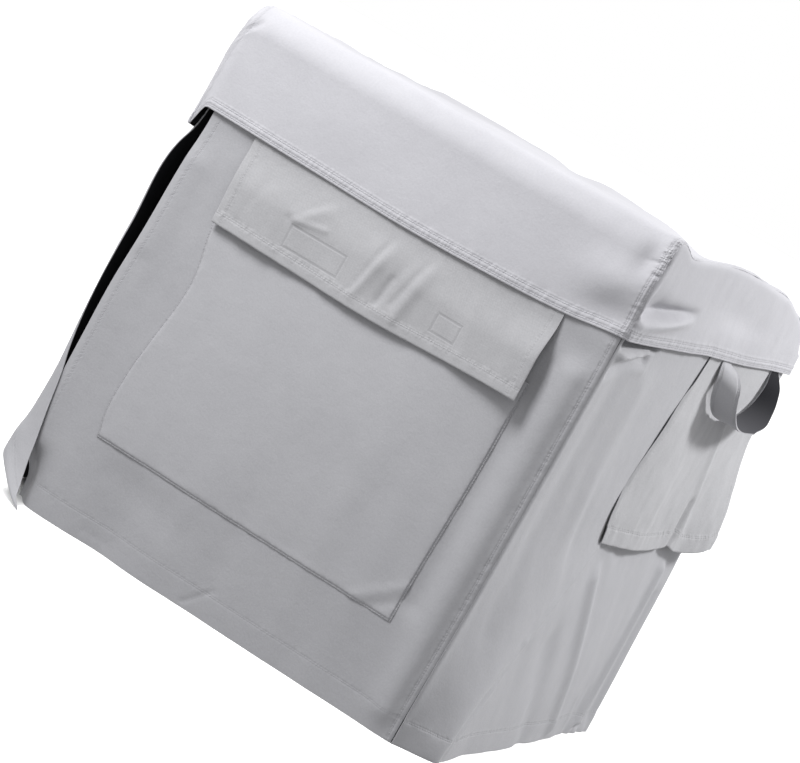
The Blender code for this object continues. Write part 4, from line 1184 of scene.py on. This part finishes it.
def side_flap(across, up):
    """Hangs from behind the right hem, its back lower corner standing out."""
    guess = 0.260 + up * 0.252
    left = curve(guess, SIDE_LEFT["z"], SIDE_LEFT["depth"])
    right = curve(guess, SIDE_RIGHT["z"], SIDE_RIGHT["depth"])
    depth = left + across * (right - left)
    head = HOOD_HEM + FLAP_TUCK + curve(depth, HEM_RIGHT["depth"], HEM_RIGHT["lift"])
    foot = curve(depth, SIDE_FOOT["depth"], SIDE_FOOT["z"])
    z = foot + up * (head - foot)
    return side_flap_x(depth, z), depth, z


side_hang = Laid(side_flap, shares(0.37, 0.0030), shares(0.25, 0.0030))
side_hang_raised = ease((0.475 - side_hang.z) / 0.03) * (
    hem_roll(side_hang.foot, SIDE_HEM, 0.0009)
    + hem_roll(side_hang.left, FLAP_EDGE_HEM, 0.0004)
    - 0.0012 * (1.0 - ease(side_hang.left / 0.012))
    - curve(side_hang.z, SIDE_EDGE_DIP["z"], SIDE_EDGE_DIP["dip"]) * (1.0 - ease(side_hang.left / 0.005))
    + puckers(side_hang.foot, side_hang.left, (SIDE_HEM,), 0.0085, 0.0006, 81)
    + 0.0009 * slack(side_hang.left, side_hang.foot, (0.022, 0.070), 82) * ease(side_hang.left / 0.02)
    + 0.0005 * slack(side_hang.left, side_hang.foot, (0.012, 0.018), 83)
)
side_hang_rows = [
    stitches("foot", (SIDE_HEM,), strength=0.7, pull=12.0),
    stitches("left", (FLAP_EDGE_HEM,), strength=0.4, pull=6.0),
    stitches("right", (FLAP_EDGE_HEM,), strength=0.6),
]
side_hang_cloth = woven("side flap cloth", SIDE_GREYS, COARSE_THREAD, side_hang_rows)
side_flap_piece = cloth_piece(
    "side_flap_cloth", side_hang, side_hang_raised, side_hang_cloth
)
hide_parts("side_flap")

# Carrying strap
# A band of the same cloth folded to 34 mm wide, sewn in under the right band at both ends. It hangs in a loop
# with its width turned out from the wall, so its black inner face shows in the far half.

STRAP_WIDTH = 0.034
STRAP_CENTRE = 0.507
STRAP_HALF_SPAN = 0.114
STRAP_DROP = 0.078
STRAP_TUCK = 0.007
STRAP_CLOTH = 0.0016
STRAP_ROW = (0.003,)
# Painted light on the strap's black inside: mid grey low in the loop, where it catches the light, going over
# to black higher up
STRAP_PAINTED_LIGHT = {"low_z": 0.405, "high_z": 0.480, "colour": (0.110, 0.110, 0.120, 1.0)}
# How far each half of the strap has turned edge on, by how far it has dropped from its sewn end
STRAP_TURN = {
    "drop": (0.0, 0.0085, 0.014, 0.025, 0.042, 0.060, 0.078),
    "near": (0.0, 0.0, 22.0, 43.0, 60.0, 75.0, 90.0),
    "far": (0.0, 0.0, 6.0, 17.0, 31.0, 50.0, 90.0),
}


def carry_strap(place, across):
    """A ribbon: its edge beside the flap runs along a U. Its other edge lies further back at both ends and
    stands out from the wall between, so the face that looks out at the near end looks at the wall at the far
    one. Equal steps of place lie closer together on the cloth near the ends."""
    along = place - 0.85 * np.sin(2 * np.pi * place) / (2 * np.pi)
    depth = STRAP_CENTRE - STRAP_HALF_SPAN * np.cos(np.pi * along)
    head = HOOD_HEM + STRAP_TUCK + curve(depth, HEM_RIGHT["depth"], HEM_RIGHT["lift"])
    drop = STRAP_DROP * np.clip(np.sin(np.pi * along), 0.0, 1.0) ** 0.6
    near = curve(drop, STRAP_TURN["drop"], STRAP_TURN["near"])
    far = curve(drop, STRAP_TURN["drop"], STRAP_TURN["far"])
    turn = np.radians(np.clip(np.where(along < 0.5, near, far), 0.0, 90.0))
    reach = across * STRAP_WIDTH
    clear = GAP + STRAP_CLOTH * (1.0 - ease(place)) + 0.0026 * ease((drop - 0.0085) / 0.02)
    z = head - drop
    depth = depth + reach * np.cos(turn)
    x = side_flap_x(depth, np.minimum(z, 0.494)) + clear + reach * np.sin(turn)
    return x, depth, z


loop = Laid(carry_strap, np.linspace(0.0, 1.0, 141), np.linspace(0.0, 1.0, 21))
loop_rows = [stitches(edge, STRAP_ROW, pull=2.0) for edge in ("foot", "head")]
loop_cloth = woven("strap cloth", WALL_GREYS, THREAD, loop_rows)
loop_piece = cloth_piece(
    "carry_loop", loop, np.zeros(loop.x.shape), loop_cloth, STRAP_CLOTH
)
# The strap's inside, with painted light towards the bottom of the loop
loop_piece.data.materials[1] = black_inside("strap inside with painted light", STRAP_PAINTED_LIGHT)
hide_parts("carry_strap")
